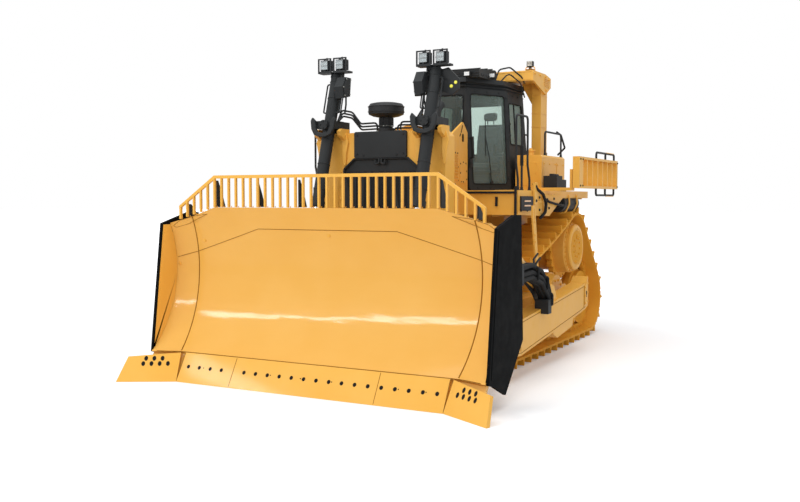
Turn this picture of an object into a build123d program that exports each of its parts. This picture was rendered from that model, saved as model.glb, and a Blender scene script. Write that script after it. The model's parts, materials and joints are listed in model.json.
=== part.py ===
"""Large track-type tractor with a semi-U blade, at its real size in millimetres.

+X is the machine's left, -Y its front and +Z up. The origin is on the ground, under
the middle of the machine's length and width.
"""
from build123d import *
from math import asin, atan2, cos, degrees, hypot, pi, radians, sin
import os

os.makedirs("parts", exist_ok=True)

GAP = 0.3                      # running and seating clearance between pieces
SIDES = (("left", 1), ("right", -1))

# ---------------------------------------------------------------- tracks
GAUGE = 2896                   # between the track centre lines
SHOE_WIDTH = 710
SHOE_COUNT = 41
IDLER_FRONT_Y = -1190
IDLER_REAR_Y = 3270
SPROCKET_Y = 2340
SPROCKET_Z = 1690
PITCH_RADIUS = 560             # pin circle at the idlers and the sprocket
GROUSER_HEIGHT = 102
PLATE_THICK = 26
PLATE_RISE = 22                # pin line to the underside of a shoe
LINK_DROP = 70                 # pin line to the rail face of a link
LINK_INNER = 60                # half gap between a track's two rows of links
LINK_OUTER = 130
SAG_START = 8.5                # slope of the upper run where it leaves the front idler, degrees
TRACK_X = GAUGE / 2
TIP_RADIUS = PITCH_RADIUS + PLATE_RISE + PLATE_THICK + GROUSER_HEIGHT
IDLER_Z = TIP_RADIUS
RAIL_RADIUS = PITCH_RADIUS - LINK_DROP
TRACK_OUTER_X = TRACK_X + SHOE_WIDTH / 2

# ---------------------------------------------------------------- undercarriage
ROLLER_COUNT = 8
ROLLER_RADIUS = 150
ROLLER_FRONT_Y = -480
ROLLER_PITCH = 440
SIDE_PLATE_IN = 150            # from the track's centre line
SIDE_PLATE_THICK = 45
BOX_BOTTOM = 545
BOX_TOP = 980
PIVOT_Y = 1350                 # pivot shaft that carries both track frames
PIVOT_Z = 880
PIVOT_BOSS_RADIUS = 430
PIVOT_SHAFT_RADIUS = 150
SPROCKET_TEETH = 22
SPROCKET_THICK = 90
HUB_RADIUS = 320
DRUM_RADIUS = 450
COVER_RADIUS = 405

# ---------------------------------------------------------------- tractor body
FRAME_HALF = 620               # outer faces of the main frame
FRAME_BOTTOM = 675
FRAME_TOP = 1500
FRAME_FRONT_Y = -1500
CASE_REAR_Y = 3650
HOOD_FRONT_HALF = 860          # the hood narrows towards the cab
HOOD_REAR_HALF = 400
HOOD_TOP = 3560
HOOD_REAR_Y = 690
HOOD_SKIN = 30
GUARD_FRONT_Y = -1580
GUARD_HALF = 1050
GUARD_TOP = 3540
DECK_TOP = 2680                # fender platforms
DECK_THICK = 50
FENDER_OUTER_X = 1800
CAB_ROOF = 4520
CAB_HALF = 840                 # over the closed doors, at the floor
CAB_LEAN = 110                 # how far each side comes in by the roof
CAB_NOSE_HALF = 380            # half width of the windshield's wall
CAB_FRONT_Y = 720
CAB_CORNER_Y = 1630            # where a door ends and the straight side starts
CAB_REAR_Y = 2650
CAB_WALL = 50
DOOR_GAP = 6
DOOR_THICK = 45
GLASS_THICK = 8
HINGE_PIN = 8

# ---------------------------------------------------------------- blade and arms
ARM_PIVOT_Y = 1200
ARM_PIVOT_Z = 800
BLADE_PIN_Y = -2850
BLADE_PIN_Z = 600
ARM_INNER_X = 1930
ARM_OUTER_X = 2195
LIFT_X = 840                   # both lift cylinders
TRUNNION_Y = -1665
TRUNNION_Z = 3660
LIFT_PIN_Y = -2410
LIFT_PIN_Z = 1100
TILT_X = 2050
TILT_BASE_Y = -120
TILT_BASE_Z = 1120
TILT_PIN_Y = -2560
TILT_PIN_Z = 2120
LIFT_BARREL_RADIUS = 92
LIFT_BORE_RADIUS = 74
LIFT_ROD_RADIUS = 55
LIFT_ABOVE = 760               # barrel above its trunnion
LIFT_BELOW = 1280
LIFT_ROD_START = 480           # top of the rod, below the trunnion, at rest
TILT_BARREL_RADIUS = 118
TILT_BORE_RADIUS = 95
TILT_ROD_RADIUS = 62
TILT_START = 360               # closed end of the barrel, from its eye
TILT_MOUTH = 1450
TILT_ROD_START = 680
TILT_BASE_PIN = 55
TILT_TOP_PIN = 45
EYE_PLAY = 7                   # the rod's eye is opened here, and drifts this much round its pin
EYE_HALF = 58
TRUNNION_PIN_RADIUS = 45
YOKE_HALF = 150
ARM_TRUNNION_RADIUS = 110
ARM_TRUNNION_END = 2120
BLADE_PIN_RADIUS = 60


def save(piece, name):
    """Label a finished piece and write its STEP file."""
    piece.part.label = name
    export_step(piece.part, f"parts/{name}.step")


def slab(points, x0, x1, mode=Mode.ADD):
    """A plate whose outline lies in the YZ plane, from x0 to x1."""
    with BuildSketch(Plane.YZ.offset(x0)) as outline:
        with BuildLine():
            Polyline(*points, close=True)
        make_face()
    extrude(outline.sketch, amount=x1 - x0, mode=mode)


def block(x0, x1, y0, y1, z0, z1, mode=Mode.ADD):
    """A block between two corners."""
    with Locations(((x0 + x1) / 2, (y0 + y1) / 2, (z0 + z1) / 2)):
        Box(abs(x1 - x0), abs(y1 - y0), abs(z1 - z0), mode=mode)


def barrel(start, end, radius, mode=Mode.ADD):
    """A round bar from one point to another."""
    axis = Vector(*end) - Vector(*start)
    with Locations(Plane(origin=start, z_dir=axis)):
        Cylinder(radius, axis.length, align=(Align.CENTER, Align.CENTER, Align.MIN), mode=mode)


def tube(points, bend, radius):
    """A bent tube through points, with one bend radius."""
    with BuildLine() as path:
        FilletPolyline(*points, radius=bend)
    line = path.wire()
    with BuildSketch(Plane(origin=line @ 0, z_dir=line % 0)) as section:
        Circle(radius)
    sweep(sections=section.sketch, path=line)


# ================================================================ tracks
loop_rise = SPROCKET_Z - IDLER_Z
upper_slope = degrees(atan2(loop_rise, SPROCKET_Y - IDLER_FRONT_Y))
sag_end = 2 * upper_slope - SAG_START          # slope where the upper run meets the sprocket
rear_slope = degrees(atan2(loop_rise, IDLER_REAR_Y - SPROCKET_Y))
sag_reach = hypot(loop_rise, SPROCKET_Y - IDLER_FRONT_Y) / 2 / sin(radians(sag_end - SAG_START) / 2)
sag_centre = (
    IDLER_FRONT_Y - sag_reach * sin(radians(SAG_START)),
    IDLER_Z + sag_reach * cos(radians(SAG_START)),
)


def track_loop(rise):
    """The closed line at a height above the pins, clockwise from the rear of the ground run."""
    radius = PITCH_RADIUS + rise
    off = Vector(sin(radians(rear_slope)), cos(radians(rear_slope))) * radius
    with BuildLine() as loop:
        Line((IDLER_REAR_Y, IDLER_Z - radius), (IDLER_FRONT_Y, IDLER_Z - radius))
        CenterArc((IDLER_FRONT_Y, IDLER_Z), radius, 270, SAG_START - 180)
        CenterArc(sag_centre, sag_reach - radius, SAG_START - 90, sag_end - SAG_START)
        CenterArc((SPROCKET_Y, SPROCKET_Z), radius, 90 + sag_end, -sag_end - rear_slope)
        Line((SPROCKET_Y + off.X, SPROCKET_Z + off.Y), (IDLER_REAR_Y + off.X, IDLER_Z + off.Y))
        CenterArc((IDLER_REAR_Y, IDLER_Z), radius, 90 - rear_slope, rear_slope - 180)
    return loop.wire()


pin_line = track_loop(0)
shoe_pitch = pin_line.length / SHOE_COUNT
plate_top = PLATE_RISE + PLATE_THICK
shoe_gap = 8
grouser_at = -0.18 * shoe_pitch
shoe_profile = (               # along the track, above the pins
    (shoe_gap - shoe_pitch / 2, PLATE_RISE),
    (shoe_gap - shoe_pitch / 2, plate_top),
    (grouser_at - 34, plate_top),
    (grouser_at - 13, plate_top + GROUSER_HEIGHT),
    (grouser_at + 13, plate_top + GROUSER_HEIGHT),
    (grouser_at + 34, plate_top),
    (shoe_pitch / 2 - shoe_gap, plate_top),
    (shoe_pitch / 2 - shoe_gap, PLATE_RISE),
)
shoe_points = []
for shoe in range(SHOE_COUNT):
    place = (shoe + 0.5) / SHOE_COUNT
    middle = pin_line @ place
    along = pin_line % place
    outward = Vector(-along.Y, along.X)
    shoe_points += [middle + along * s + outward * h for s, h in shoe_profile]

for side, sign in SIDES:
    with BuildPart() as track:
        with BuildSketch(Plane.YZ.offset(sign * TRACK_X - SHOE_WIDTH / 2)):
            with BuildLine():
                Polyline(*shoe_points, close=True)
            make_face()
            with BuildLine():
                add(track_loop(PLATE_RISE - 10))
            make_face(mode=Mode.SUBTRACT)
        extrude(amount=SHOE_WIDTH)
        for row in (-LINK_OUTER, LINK_INNER):
            with BuildSketch(Plane.YZ.offset(sign * TRACK_X + row)):
                with BuildLine():
                    add(track_loop(PLATE_RISE - 4))
                make_face()
                with BuildLine():
                    add(track_loop(-LINK_DROP))
                make_face(mode=Mode.SUBTRACT)
            extrude(amount=LINK_OUTER - LINK_INNER)
    save(track, f"{side}_track")
print("shoe pitch", round(shoe_pitch, 1))

# ================================================================ undercarriage
roller_z = IDLER_Z - RAIL_RADIUS + ROLLER_RADIUS + GAP
roller_ys = [ROLLER_FRONT_Y + k * ROLLER_PITCH for k in range(ROLLER_COUNT)]
side_plate_out = SIDE_PLATE_IN + SIDE_PLATE_THICK
axle_half = SIDE_PLATE_IN - GAP
idler_profile = (              # radius, half width
    (0, axle_half),
    (150, axle_half),
    (150, 95),
    (330, 70),
    (400, 110),
    (RAIL_RADIUS - GAP, 128),
    (RAIL_RADIUS - GAP, 56),
    (RAIL_RADIUS + 42, 44),
)
roller_profile = (
    (0, axle_half),
    (70, axle_half),
    (70, 138),
    (ROLLER_RADIUS, 134),
    (ROLLER_RADIUS, 56),
    (ROLLER_RADIUS + 22, 50),
    (ROLLER_RADIUS + 22, 22),
    (ROLLER_RADIUS - 20, 16),
)


def wheel_plane(x, y, z):
    """A plane whose X runs outwards from a wheel's axle and whose Y runs along the axle."""
    return Plane(origin=(x, y, z), x_dir=(0, 0, 1), z_dir=(0, 1, 0))


def wheel_outline(profile):
    """Both halves of a wheel's section, from (radius, half width) pairs."""
    return [(r, w) for r, w in profile] + [(r, -w) for r, w in reversed(profile)]


frame_side = (                 # y, z of a track frame's side plates
    (IDLER_FRONT_Y - 190, 640),
    (IDLER_FRONT_Y - 60, 520),
    (-700, 470),
    (-640, 300),
    (2760, 300),
    (2830, 470),
    (IDLER_REAR_Y + 60, 520),
    (IDLER_REAR_Y + 190, 640),
    (IDLER_REAR_Y + 190, 800),
    (IDLER_REAR_Y - 100, 900),
    (2500, BOX_TOP),
    (-500, BOX_TOP),
    (IDLER_FRONT_Y - 40, 880),
    (IDLER_FRONT_Y - 190, 800),
)
frame_box = (
    (-640, BOX_BOTTOM),
    (2700, BOX_BOTTOM),
    (2700, 860),
    (2300, BOX_TOP + 60),
    (300, BOX_TOP + 60),
    (-640, BOX_TOP - 40),
)
for side, sign in SIDES:
    x = sign * TRACK_X
    with BuildPart() as track_frame:
        for face in (-side_plate_out, SIDE_PLATE_IN):
            slab(frame_side, x + face, x + face + SIDE_PLATE_THICK)
        slab(frame_box, x - SIDE_PLATE_IN, x + SIDE_PLATE_IN)
        with BuildSketch(Plane.YZ.offset(sign * (TRACK_X - side_plate_out))):
            with Locations((PIVOT_Y, PIVOT_Z)):
                Circle(PIVOT_BOSS_RADIUS)
            with Locations((PIVOT_Y, BOX_BOTTOM - 200)):
                Rectangle(3 * PIVOT_BOSS_RADIUS, 400, mode=Mode.SUBTRACT)
        extrude(amount=sign * 2 * side_plate_out)
        with BuildSketch(Plane.YZ.offset(sign * (TRACK_X + side_plate_out))):
            with Locations((PIVOT_Y, PIVOT_Z)):
                Circle(PIVOT_BOSS_RADIUS - 20)
            with Locations((PIVOT_Y, BOX_BOTTOM - 200)):
                Rectangle(3 * PIVOT_BOSS_RADIUS, 400, mode=Mode.SUBTRACT)
        extrude(amount=sign * 110, taper=12)
        barrel(
            (sign * (TRACK_X + side_plate_out - 10), ARM_PIVOT_Y, ARM_PIVOT_Z),
            (sign * ARM_TRUNNION_END, ARM_PIVOT_Y, ARM_PIVOT_Z),
            ARM_TRUNNION_RADIUS,
        )
    save(track_frame, f"{side}_track_frame")

    with BuildPart() as idlers:
        for y in (IDLER_FRONT_Y, IDLER_REAR_Y):
            with BuildSketch(wheel_plane(x, y, IDLER_Z)):
                with BuildLine():
                    Polyline(*wheel_outline(idler_profile), close=True)
                make_face()
            revolve(axis=Axis((x, y, IDLER_Z), (1, 0, 0)))
    save(idlers, f"{side}_idlers")

    with BuildPart() as rollers:
        for y in roller_ys:
            with BuildSketch(wheel_plane(x, y, roller_z)):
                with BuildLine():
                    Polyline(*wheel_outline(roller_profile), close=True)
                make_face()
            revolve(axis=Axis((x, y, roller_z), (1, 0, 0)))
    save(rollers, f"{side}_rollers")

# ================================================================ final drives
tooth_root = PITCH_RADIUS - 52
tooth_tip = PITCH_RADIUS + 6
tooth_angle = 2 * pi / SPROCKET_TEETH
teeth_points = []
for tooth in range(SPROCKET_TEETH):
    for turn, radius in ((-0.42, tooth_root), (-0.2, tooth_tip), (0.2, tooth_tip), (0.42, tooth_root)):
        at = (tooth + turn) * tooth_angle
        teeth_points.append((radius * cos(at), radius * sin(at)))
drive_profile = (              # radius, distance outwards from the sprocket's middle plane
    (0, -SPROCKET_THICK / 2 - 640),
    (360, -SPROCKET_THICK / 2 - 640),
    (420, -SPROCKET_THICK / 2 - 560),
    (420, -SPROCKET_THICK / 2 - 40),
    (HUB_RADIUS + 60, -SPROCKET_THICK / 2 - GAP),
    (HUB_RADIUS, -SPROCKET_THICK / 2 - GAP),
    (HUB_RADIUS, SPROCKET_THICK / 2 + GAP),
    (DRUM_RADIUS, SPROCKET_THICK / 2 + GAP),
    (DRUM_RADIUS, 235),
    (DRUM_RADIUS - 14, 262),
    (COVER_RADIUS, 268),
    (COVER_RADIUS, 325),
    (COVER_RADIUS - 18, 345),
    (COVER_RADIUS - 70, 352),
    (COVER_RADIUS - 80, 340),
    (0, 340),
)
with BuildPart() as sprockets:
    for side, sign in SIDES:
        inner_face = (sign * TRACK_X - SPROCKET_THICK / 2, SPROCKET_Y, SPROCKET_Z)
        with BuildSketch(Plane(origin=inner_face, x_dir=(0, 1, 0), z_dir=(1, 0, 0))):
            with BuildLine():
                Polyline(*teeth_points, close=True)
            make_face()
            Circle(HUB_RADIUS + GAP, mode=Mode.SUBTRACT)
        extrude(amount=SPROCKET_THICK)
save(sprockets, "sprockets")

with BuildPart() as final_drives:
    for side, sign in SIDES:
        with BuildSketch(wheel_plane(sign * TRACK_X, SPROCKET_Y, SPROCKET_Z)):
            with BuildLine():
                Polyline(*[(r, sign * w) for r, w in drive_profile], close=True)
            make_face()
        revolve(axis=Axis((sign * TRACK_X, SPROCKET_Y, SPROCKET_Z), (1, 0, 0)))
save(final_drives, "final_drives")

# ================================================================ main frame
case_half = TRACK_X - SPROCKET_THICK / 2 - 640
frame_inner = FRAME_HALF - 90
shaft_end = TRACK_X - side_plate_out
with BuildPart() as main_frame:
    for sign in (1, -1):
        slab(
            ((FRAME_FRONT_Y, 900), (-1100, FRAME_BOTTOM), (1800, FRAME_BOTTOM), (1800, FRAME_TOP), (FRAME_FRONT_Y, FRAME_TOP)),
            sign * frame_inner,
            sign * FRAME_HALF,
        )
        barrel((sign * frame_inner, PIVOT_Y, PIVOT_Z), (sign * shaft_end, PIVOT_Y, PIVOT_Z), PIVOT_SHAFT_RADIUS)
        barrel((sign * frame_inner, PIVOT_Y, PIVOT_Z), (sign * (FRAME_HALF + 90), PIVOT_Y, PIVOT_Z), 250)
    slab(
        ((-1450, 875), (-1100, FRAME_BOTTOM), (1800, FRAME_BOTTOM), (1800, FRAME_BOTTOM + 40), (-1080, FRAME_BOTTOM + 40), (-1420, 915)),
        -frame_inner,
        frame_inner,
    )
    block(-frame_inner, frame_inner, FRAME_FRONT_Y, FRAME_FRONT_Y + 60, 900, FRAME_TOP)
    block(-frame_inner, frame_inner, 1740, 1800, FRAME_BOTTOM, FRAME_TOP)
save(main_frame, "main_frame")

with BuildPart() as rear_case:
    slab(
        (
            (1800 + GAP, FRAME_BOTTOM + 40),
            (3350, FRAME_BOTTOM + 40),
            (CASE_REAR_Y, 1000),
            (CASE_REAR_Y, 1900),
            (3300, 2250),
            (1800 + GAP, 2250),
        ),
        -FRAME_HALF,
        FRAME_HALF,
    )
    barrel((-case_half, SPROCKET_Y, SPROCKET_Z), (case_half, SPROCKET_Y, SPROCKET_Z), 470)
    for x in (-480, 480):
        block(x - 60, x + 60, CASE_REAR_Y - 20, CASE_REAR_Y + 40, 1000, 1800)
save(rear_case, "rear_case")

equalizer_y = -560
with BuildPart() as equalizer_bar:
    with BuildSketch(Plane.XZ.offset(-equalizer_y - 90)):
        with BuildLine():
            Polyline(
                (GAP - shaft_end, 590),
                (shaft_end - GAP, 590),
                (shaft_end - GAP, 470),
                (500, 430),
                (-500, 430),
                (GAP - shaft_end, 470),
                close=True,
            )
        make_face()
    extrude(amount=180)
    block(-110, 110, equalizer_y - 90, equalizer_y + 90, 560, FRAME_BOTTOM - GAP)
save(equalizer_bar, "equalizer_bar")

engine_half = 380
with BuildPart() as engine_block:
    block(-engine_half, engine_half, -1100, 500, 1250, 2650)
    for sign in (1, -1):
        for y in (-850, 150):
            block(sign * engine_half, sign * (frame_inner - GAP), y, y + 150, 1300, 1450)
save(engine_block, "engine_block")

drawbar_z = 765
with BuildPart() as drawbar:
    block(-260, 260, CASE_REAR_Y + GAP, CASE_REAR_Y + 100, 620, 1500)
    for z in (drawbar_z - 130, drawbar_z + 70):
        with BuildSketch(Plane.XY.offset(z)):
            with BuildLine():
                Polyline((-230, CASE_REAR_Y + 100), (230, CASE_REAR_Y + 100), (120, 4090), (-120, 4090), close=True)
            make_face()
            with Locations((0, 4060)):
                Circle(130)
            with Locations((0, 4060)):
                Circle(45, mode=Mode.SUBTRACT)
        extrude(amount=60)
    block(-120, 120, CASE_REAR_Y + 100, 3860, drawbar_z - 130, drawbar_z + 130)
save(drawbar, "drawbar")

# ================================================================ hood and radiator guard
grille_half = 630
plate_half = 440
column_in = grille_half
with BuildPart() as radiator_guard:
    with BuildSketch(Plane.XZ.offset(-GUARD_FRONT_Y - 320)):
        with BuildLine():
            Polyline(
                (-GUARD_HALF, 1550),
                (GUARD_HALF, 1550),
                (GUARD_HALF, GUARD_TOP - 80),
                (GUARD_HALF - 80, GUARD_TOP),
                (80 - GUARD_HALF, GUARD_TOP),
                (-GUARD_HALF, GUARD_TOP - 80),
                close=True,
            )
        make_face()
        with BuildLine():
            Polyline(
                (-grille_half, 1650),
                (grille_half, 1650),
                (grille_half, 3000),
                (460, 3150),
                (-460, 3150),
                (-grille_half, 3000),
                close=True,
            )
        make_face(mode=Mode.SUBTRACT)
    extrude(amount=320)
    for sign in (1, -1):
        block(sign * 560, sign * FRAME_HALF, FRAME_FRONT_Y, GUARD_FRONT_Y + 320, FRAME_TOP, 1550)
        for x in (600, 1010):
            slab(
                ((-1560, 3400), (-1740, 3500), (-1760, 3560), (-1700, 3600), (-1480, 3600), (-1480, 3400)),
                sign * x,
                sign * (x + 60),
            )
save(radiator_guard, "radiator_guard")

bar_count = 9
with BuildPart() as radiator_grille:
    with BuildSketch(Plane.XZ.offset(-GUARD_FRONT_Y - 60)):
        with BuildLine():
            Polyline(
                (GAP - grille_half, 1650 + GAP),
                (grille_half - GAP, 1650 + GAP),
                (grille_half - GAP, 3000),
                (460, 3150 - GAP),
                (-460, 3150 - GAP),
                (GAP - grille_half, 3000),
                close=True,
            )
        make_face()
    extrude(amount=50)
    for k in range(bar_count):
        x = (k - (bar_count - 1) / 2) * 130
        block(x - 45, x + 45, GUARD_FRONT_Y + 5, GUARD_FRONT_Y + 20, 1750, 2960, mode=Mode.SUBTRACT)
save(radiator_grille, "radiator_grille")

with BuildPart() as nose_plate:
    block(-plate_half, plate_half, GUARD_FRONT_Y - 40, GUARD_FRONT_Y - GAP, 3160, GUARD_TOP + 10)
    edges_up = nose_plate.edges().filter_by(Axis.Y)
    fillet(edges_up, 30)
save(nose_plate, "nose_plate")

hood_front = GUARD_FRONT_Y + 320 + GAP
hood_taper = (HOOD_FRONT_HALF - HOOD_REAR_HALF) / (HOOD_REAR_Y - hood_front)
shoulder_wide = 200
shoulder_drop = 170
wing_outline = (                # distance back from the hood's front, height
    (300, HOOD_TOP - shoulder_drop - 40),
    (780, HOOD_TOP + 20),
    (1570, 3797),
    (1640, 3790),
    (1990, 3655),
    (1990, HOOD_TOP - shoulder_drop - 40),
)


def hood_loft(inset, low, mode):
    """The hood's tapered form, or its inside when inset by its skin."""
    faces = []
    for y, half in ((hood_front, HOOD_FRONT_HALF), (HOOD_REAR_Y, HOOD_REAR_HALF)):
        side_x = half - inset
        top = HOOD_TOP - inset
        with BuildSketch(Plane.XZ.offset(-y)) as section:
            with BuildLine():
                Polyline(
                    (-side_x, low),
                    (side_x, low),
                    (side_x, top - shoulder_drop),
                    (side_x - shoulder_wide, top),
                    (shoulder_wide - side_x, top),
                    (-side_x, top - shoulder_drop),
                    close=True,
                )
            make_face()
        faces.append(section.sketch)
    loft(faces, ruled=True, mode=mode)


def hood_side(sign):
    """The hood's outer side: its X runs rearwards on the left, forwards on the right."""
    rearwards = Vector(-sign * hood_taper, 1, 0).normalized()
    outwards = Vector(sign, hood_taper, 0).normalized()
    return Plane(origin=(sign * HOOD_FRONT_HALF, hood_front, 0), x_dir=rearwards * sign, z_dir=outwards)


with BuildPart() as hood:
    hood_loft(0, FRAME_TOP + GAP, Mode.ADD)
    hood_loft(HOOD_SKIN, FRAME_TOP + GAP, Mode.SUBTRACT)
    for sign in (1, -1):
        with BuildSketch(hood_side(sign)):
            with BuildLine():
                Polyline(*[(sign * s, z) for s, z in wing_outline], close=True)
            make_face()
        extrude(amount=-HOOD_SKIN)
save(hood, "hood")

precleaner_y = -1420
precleaner_profile = (         # radius, height above the guard's top
    (0, GAP),
    (120, GAP),
    (120, 60),
    (95, 80),
    (95, 220),
    (200, 240),
    (262, 268),
    (268, 300),
    (268, 385),
    (240, 425),
    (170, 440),
    (0, 440),
)
with BuildPart() as precleaner:
    with BuildSketch(Plane(origin=(0, precleaner_y, GUARD_TOP), x_dir=(1, 0, 0), z_dir=(0, -1, 0))):
        with BuildLine():
            Polyline(*precleaner_profile, close=True)
        make_face()
    revolve(axis=Axis((0, precleaner_y, 0), (0, 0, 1)))
save(precleaner, "precleaner")

# ================================================================ blade
MOLD_RADIUS = 1569             # curve of the blade's face
MOLD_DEEP_Y = -3030            # deepest line of the face
MOLD_DEEP_Z = 1560
MOLD_BOTTOM = 380
MOLD_TOP = 2430
MOLD_THICK = 45
BLADE_HALF = 2570
JUNCTION_X = BLADE_HALF - 320  # where face and wing meet, on the deepest line
MITRE = 9.7                    # half the wing's forward angle, degrees
BLADE_SHOULDER = BLADE_HALF - 830  # half width of the level top edge
WING_TOP = 2200
EDGE_Y = -3780                 # cutting edge on the ground
EDGE_HALF = BLADE_HALF - 510
EDGE_THICK = 50
TIP_X = BLADE_HALF + 220
TIP_Y = -4190
END_PLATE_THICK = 40
back_gap = 2                   # between the face's curved back and what stiffens it

mold_bottom_y = MOLD_DEEP_Y - MOLD_RADIUS + (MOLD_RADIUS**2 - (MOLD_DEEP_Z - MOLD_BOTTOM) ** 2) ** 0.5
edge_lean = Vector(mold_bottom_y - EDGE_Y, MOLD_BOTTOM).normalized()
edge_back = Vector(edge_lean.Y, -edge_lean.X)


def mold_profile(front, back):
    """The face's section between two depths, from its deepest line."""
    low = -degrees(asin((MOLD_DEEP_Z - MOLD_BOTTOM) / MOLD_RADIUS))
    high = degrees(asin((MOLD_TOP + 60 - MOLD_DEEP_Z) / MOLD_RADIUS))
    with BuildSketch() as section:
        with BuildLine():
            inner = CenterArc((-MOLD_RADIUS, MOLD_DEEP_Z), MOLD_RADIUS + front, low, high - low)
            outer = CenterArc((-MOLD_RADIUS, MOLD_DEEP_Z), MOLD_RADIUS + back, low, high - low)
            Line(inner @ 0, outer @ 0)
            Line(inner @ 1, outer @ 1)
        make_face()
        with Locations((0, MOLD_BOTTOM - 250)):
            Rectangle(4000, 500, mode=Mode.SUBTRACT)
    return section.sketch


def space_ahead(depth):
    """Everything in front of a depth behind the blade's face."""
    reach = asin((MOLD_DEEP_Z - MOLD_BOTTOM) / (MOLD_RADIUS + depth))
    with BuildSketch() as section:
        with BuildLine():
            face = CenterArc((-MOLD_RADIUS, MOLD_DEEP_Z), MOLD_RADIUS + depth, -degrees(reach), 2 * degrees(reach))
            Polyline(face @ 1, (-1500, 3500), (-1500, 0), ((face @ 0).X, 0), face @ 0)
        make_face()
    return section.sketch


def support_profile():
    """The straight lip behind the cutting edges, from the deepest line."""
    with BuildSketch() as section:
        with BuildLine():
            foot = Vector(EDGE_Y - MOLD_DEEP_Y, 0)
            low = foot + edge_lean * (120 / edge_lean.Y)
            high = foot + edge_lean * (460 / edge_lean.Y)
            front = edge_back * (EDGE_THICK + GAP)
            back = edge_back * (EDGE_THICK + 60)
            Polyline(low + front, high + front, high + back, low + back, close=True)
        make_face()
    return section.sketch


def across_blade(section):
    """A section carried over the centre of the blade and along both wings, mitred where they meet."""
    lean = radians(MITRE)
    with BuildPart() as whole:
        with BuildSketch(Plane.YZ.offset(-JUNCTION_X - 300)):
            with Locations((MOLD_DEEP_Y, 0)):
                add(section)
        extrude(amount=2 * JUNCTION_X + 600)
        for sign in (1, -1):
            corner = (sign * JUNCTION_X, MOLD_DEEP_Y, 0)
            split(bisect_by=Plane(origin=corner, z_dir=(sign * cos(lean), -sin(lean), 0)), keep=Keep.BOTTOM)
    for sign in (1, -1):
        corner = (sign * JUNCTION_X, MOLD_DEEP_Y, 0)
        wing_plane = Plane(origin=corner, x_dir=(sign * sin(2 * lean), cos(2 * lean), 0), z_dir=(cos(2 * lean), -sign * sin(2 * lean), 0))
        with BuildPart() as wing:
            with BuildSketch(wing_plane.offset(-sign * 300)):
                add(section)
            extrude(amount=sign * 1000)
            split(bisect_by=Plane(origin=corner, z_dir=(sign * cos(lean), -sin(lean), 0)), keep=Keep.TOP)
            split(bisect_by=Plane(origin=(sign * BLADE_HALF, 0, 0), z_dir=(sign, 0, 0)), keep=Keep.BOTTOM)
        whole.part = whole.part + wing.part
    return whole.part


def front_outline(drop):
    """The blade's outline seen from the front, lowered at the top."""
    with BuildSketch(Plane.XZ) as outline:
        with BuildLine():
            Polyline(
                (-BLADE_HALF - 200, 0),
                (BLADE_HALF + 200, 0),
                (BLADE_HALF + 200, WING_TOP - drop - 55),
                (BLADE_HALF, WING_TOP - drop),
                (BLADE_SHOULDER, MOLD_TOP - drop),
                (-BLADE_SHOULDER, MOLD_TOP - drop),
                (-BLADE_HALF, WING_TOP - drop),
                (-BLADE_HALF - 200, WING_TOP - drop - 55),
                close=True,
            )
        make_face()
    return outline.sketch


with BuildPart() as moldboard:
    add(across_blade(mold_profile(0, MOLD_THICK)))
    add(across_blade(support_profile()))
    extrude(front_outline(0), amount=4500, mode=Mode.INTERSECT)
save(moldboard, "moldboard")

lift_ears = (LIFT_X - 110, LIFT_X + 66)
tilt_ears = (TILT_X - 116, TILT_X + 72)
arm_ears = (ARM_INNER_X - 50, ARM_OUTER_X + 6)
ear_thick = 44
rib_outline = (
    (-3700, 460),
    (-3040, 460),
    (-2900, 900),
    (-2840, 1500),
    (-2900, 2050),
    (-3040, 2400),
    (-3700, 2400),
)
with BuildPart() as blade_back:
    slab(((-3700, 470), (-3060, 470), (-3000, 560), (-3000, 860), (-3080, 940), (-3700, 940)), -BLADE_HALF, BLADE_HALF)
    slab(((-3700, 1780), (-2960, 1780), (-2900, 1840), (-2900, 2080), (-3000, 2160), (-3700, 2160)), -BLADE_HALF, BLADE_HALF)
    for sign in (1, -1):
        for x in (0, 420, 1330, 1700):
            slab(rib_outline, sign * x - 20, sign * x + 20)
        for x in lift_ears:
            slab(
                ((-3700, 760), (-2480, 930), (-2340, 1000), (-2280, 1100), (-2340, 1210), (-2480, 1260), (-3700, 1700)),
                sign * x,
                sign * (x + ear_thick),
            )
        for x in arm_ears:
            slab(
                ((-3700, 470), (-2850, 430), (-2730, 500), (-2690, 600), (-2730, 710), (-2850, 780), (-3700, 940)),
                sign * x,
                sign * (x + ear_thick),
            )
        for x in tilt_ears:
            slab(
                ((-3700, 1790), (-2700, 1960), (-2470, 2050), (-2440, 2120), (-2470, 2200), (-2560, 2240), (-3700, 2240)),
                sign * x,
                sign * (x + ear_thick),
            )
        block(sign * (BLADE_HALF - 240), sign * BLADE_HALF, -3700, -2700, 2140, 2190)
    add(across_blade(space_ahead(MOLD_THICK + back_gap)), mode=Mode.SUBTRACT)
    extrude(front_outline(12), amount=4500, mode=Mode.INTERSECT)
    for sign in (1, -1):
        barrel((sign * (TILT_X - 116), TILT_PIN_Y, TILT_PIN_Z), (sign * (TILT_X + 116), TILT_PIN_Y, TILT_PIN_Z), TILT_TOP_PIN)
        barrel(
            (sign * arm_ears[0], BLADE_PIN_Y, BLADE_PIN_Z),
            (sign * (arm_ears[1] + ear_thick), BLADE_PIN_Y, BLADE_PIN_Z),
            BLADE_PIN_RADIUS,
        )
        for low, high in ((500, 900), (1850, 2150)):
            block(sign * (BLADE_HALF - 60), sign * BLADE_HALF, -3010, -2800, low, high)
save(blade_back, "blade_back")

end_plate_outline = (
    (-3450, 2200),
    (-3680, 370),
    (-3540, 330),
    (-3150, 160),
    (-2560, 760),
    (-2650, 2350),
    (-2900, 2350),
)
with BuildPart() as end_plates:
    for sign in (1, -1):
        slab(end_plate_outline, sign * (BLADE_HALF + GAP), sign * (BLADE_HALF + END_PLATE_THICK))
save(end_plates, "end_plates")

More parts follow.
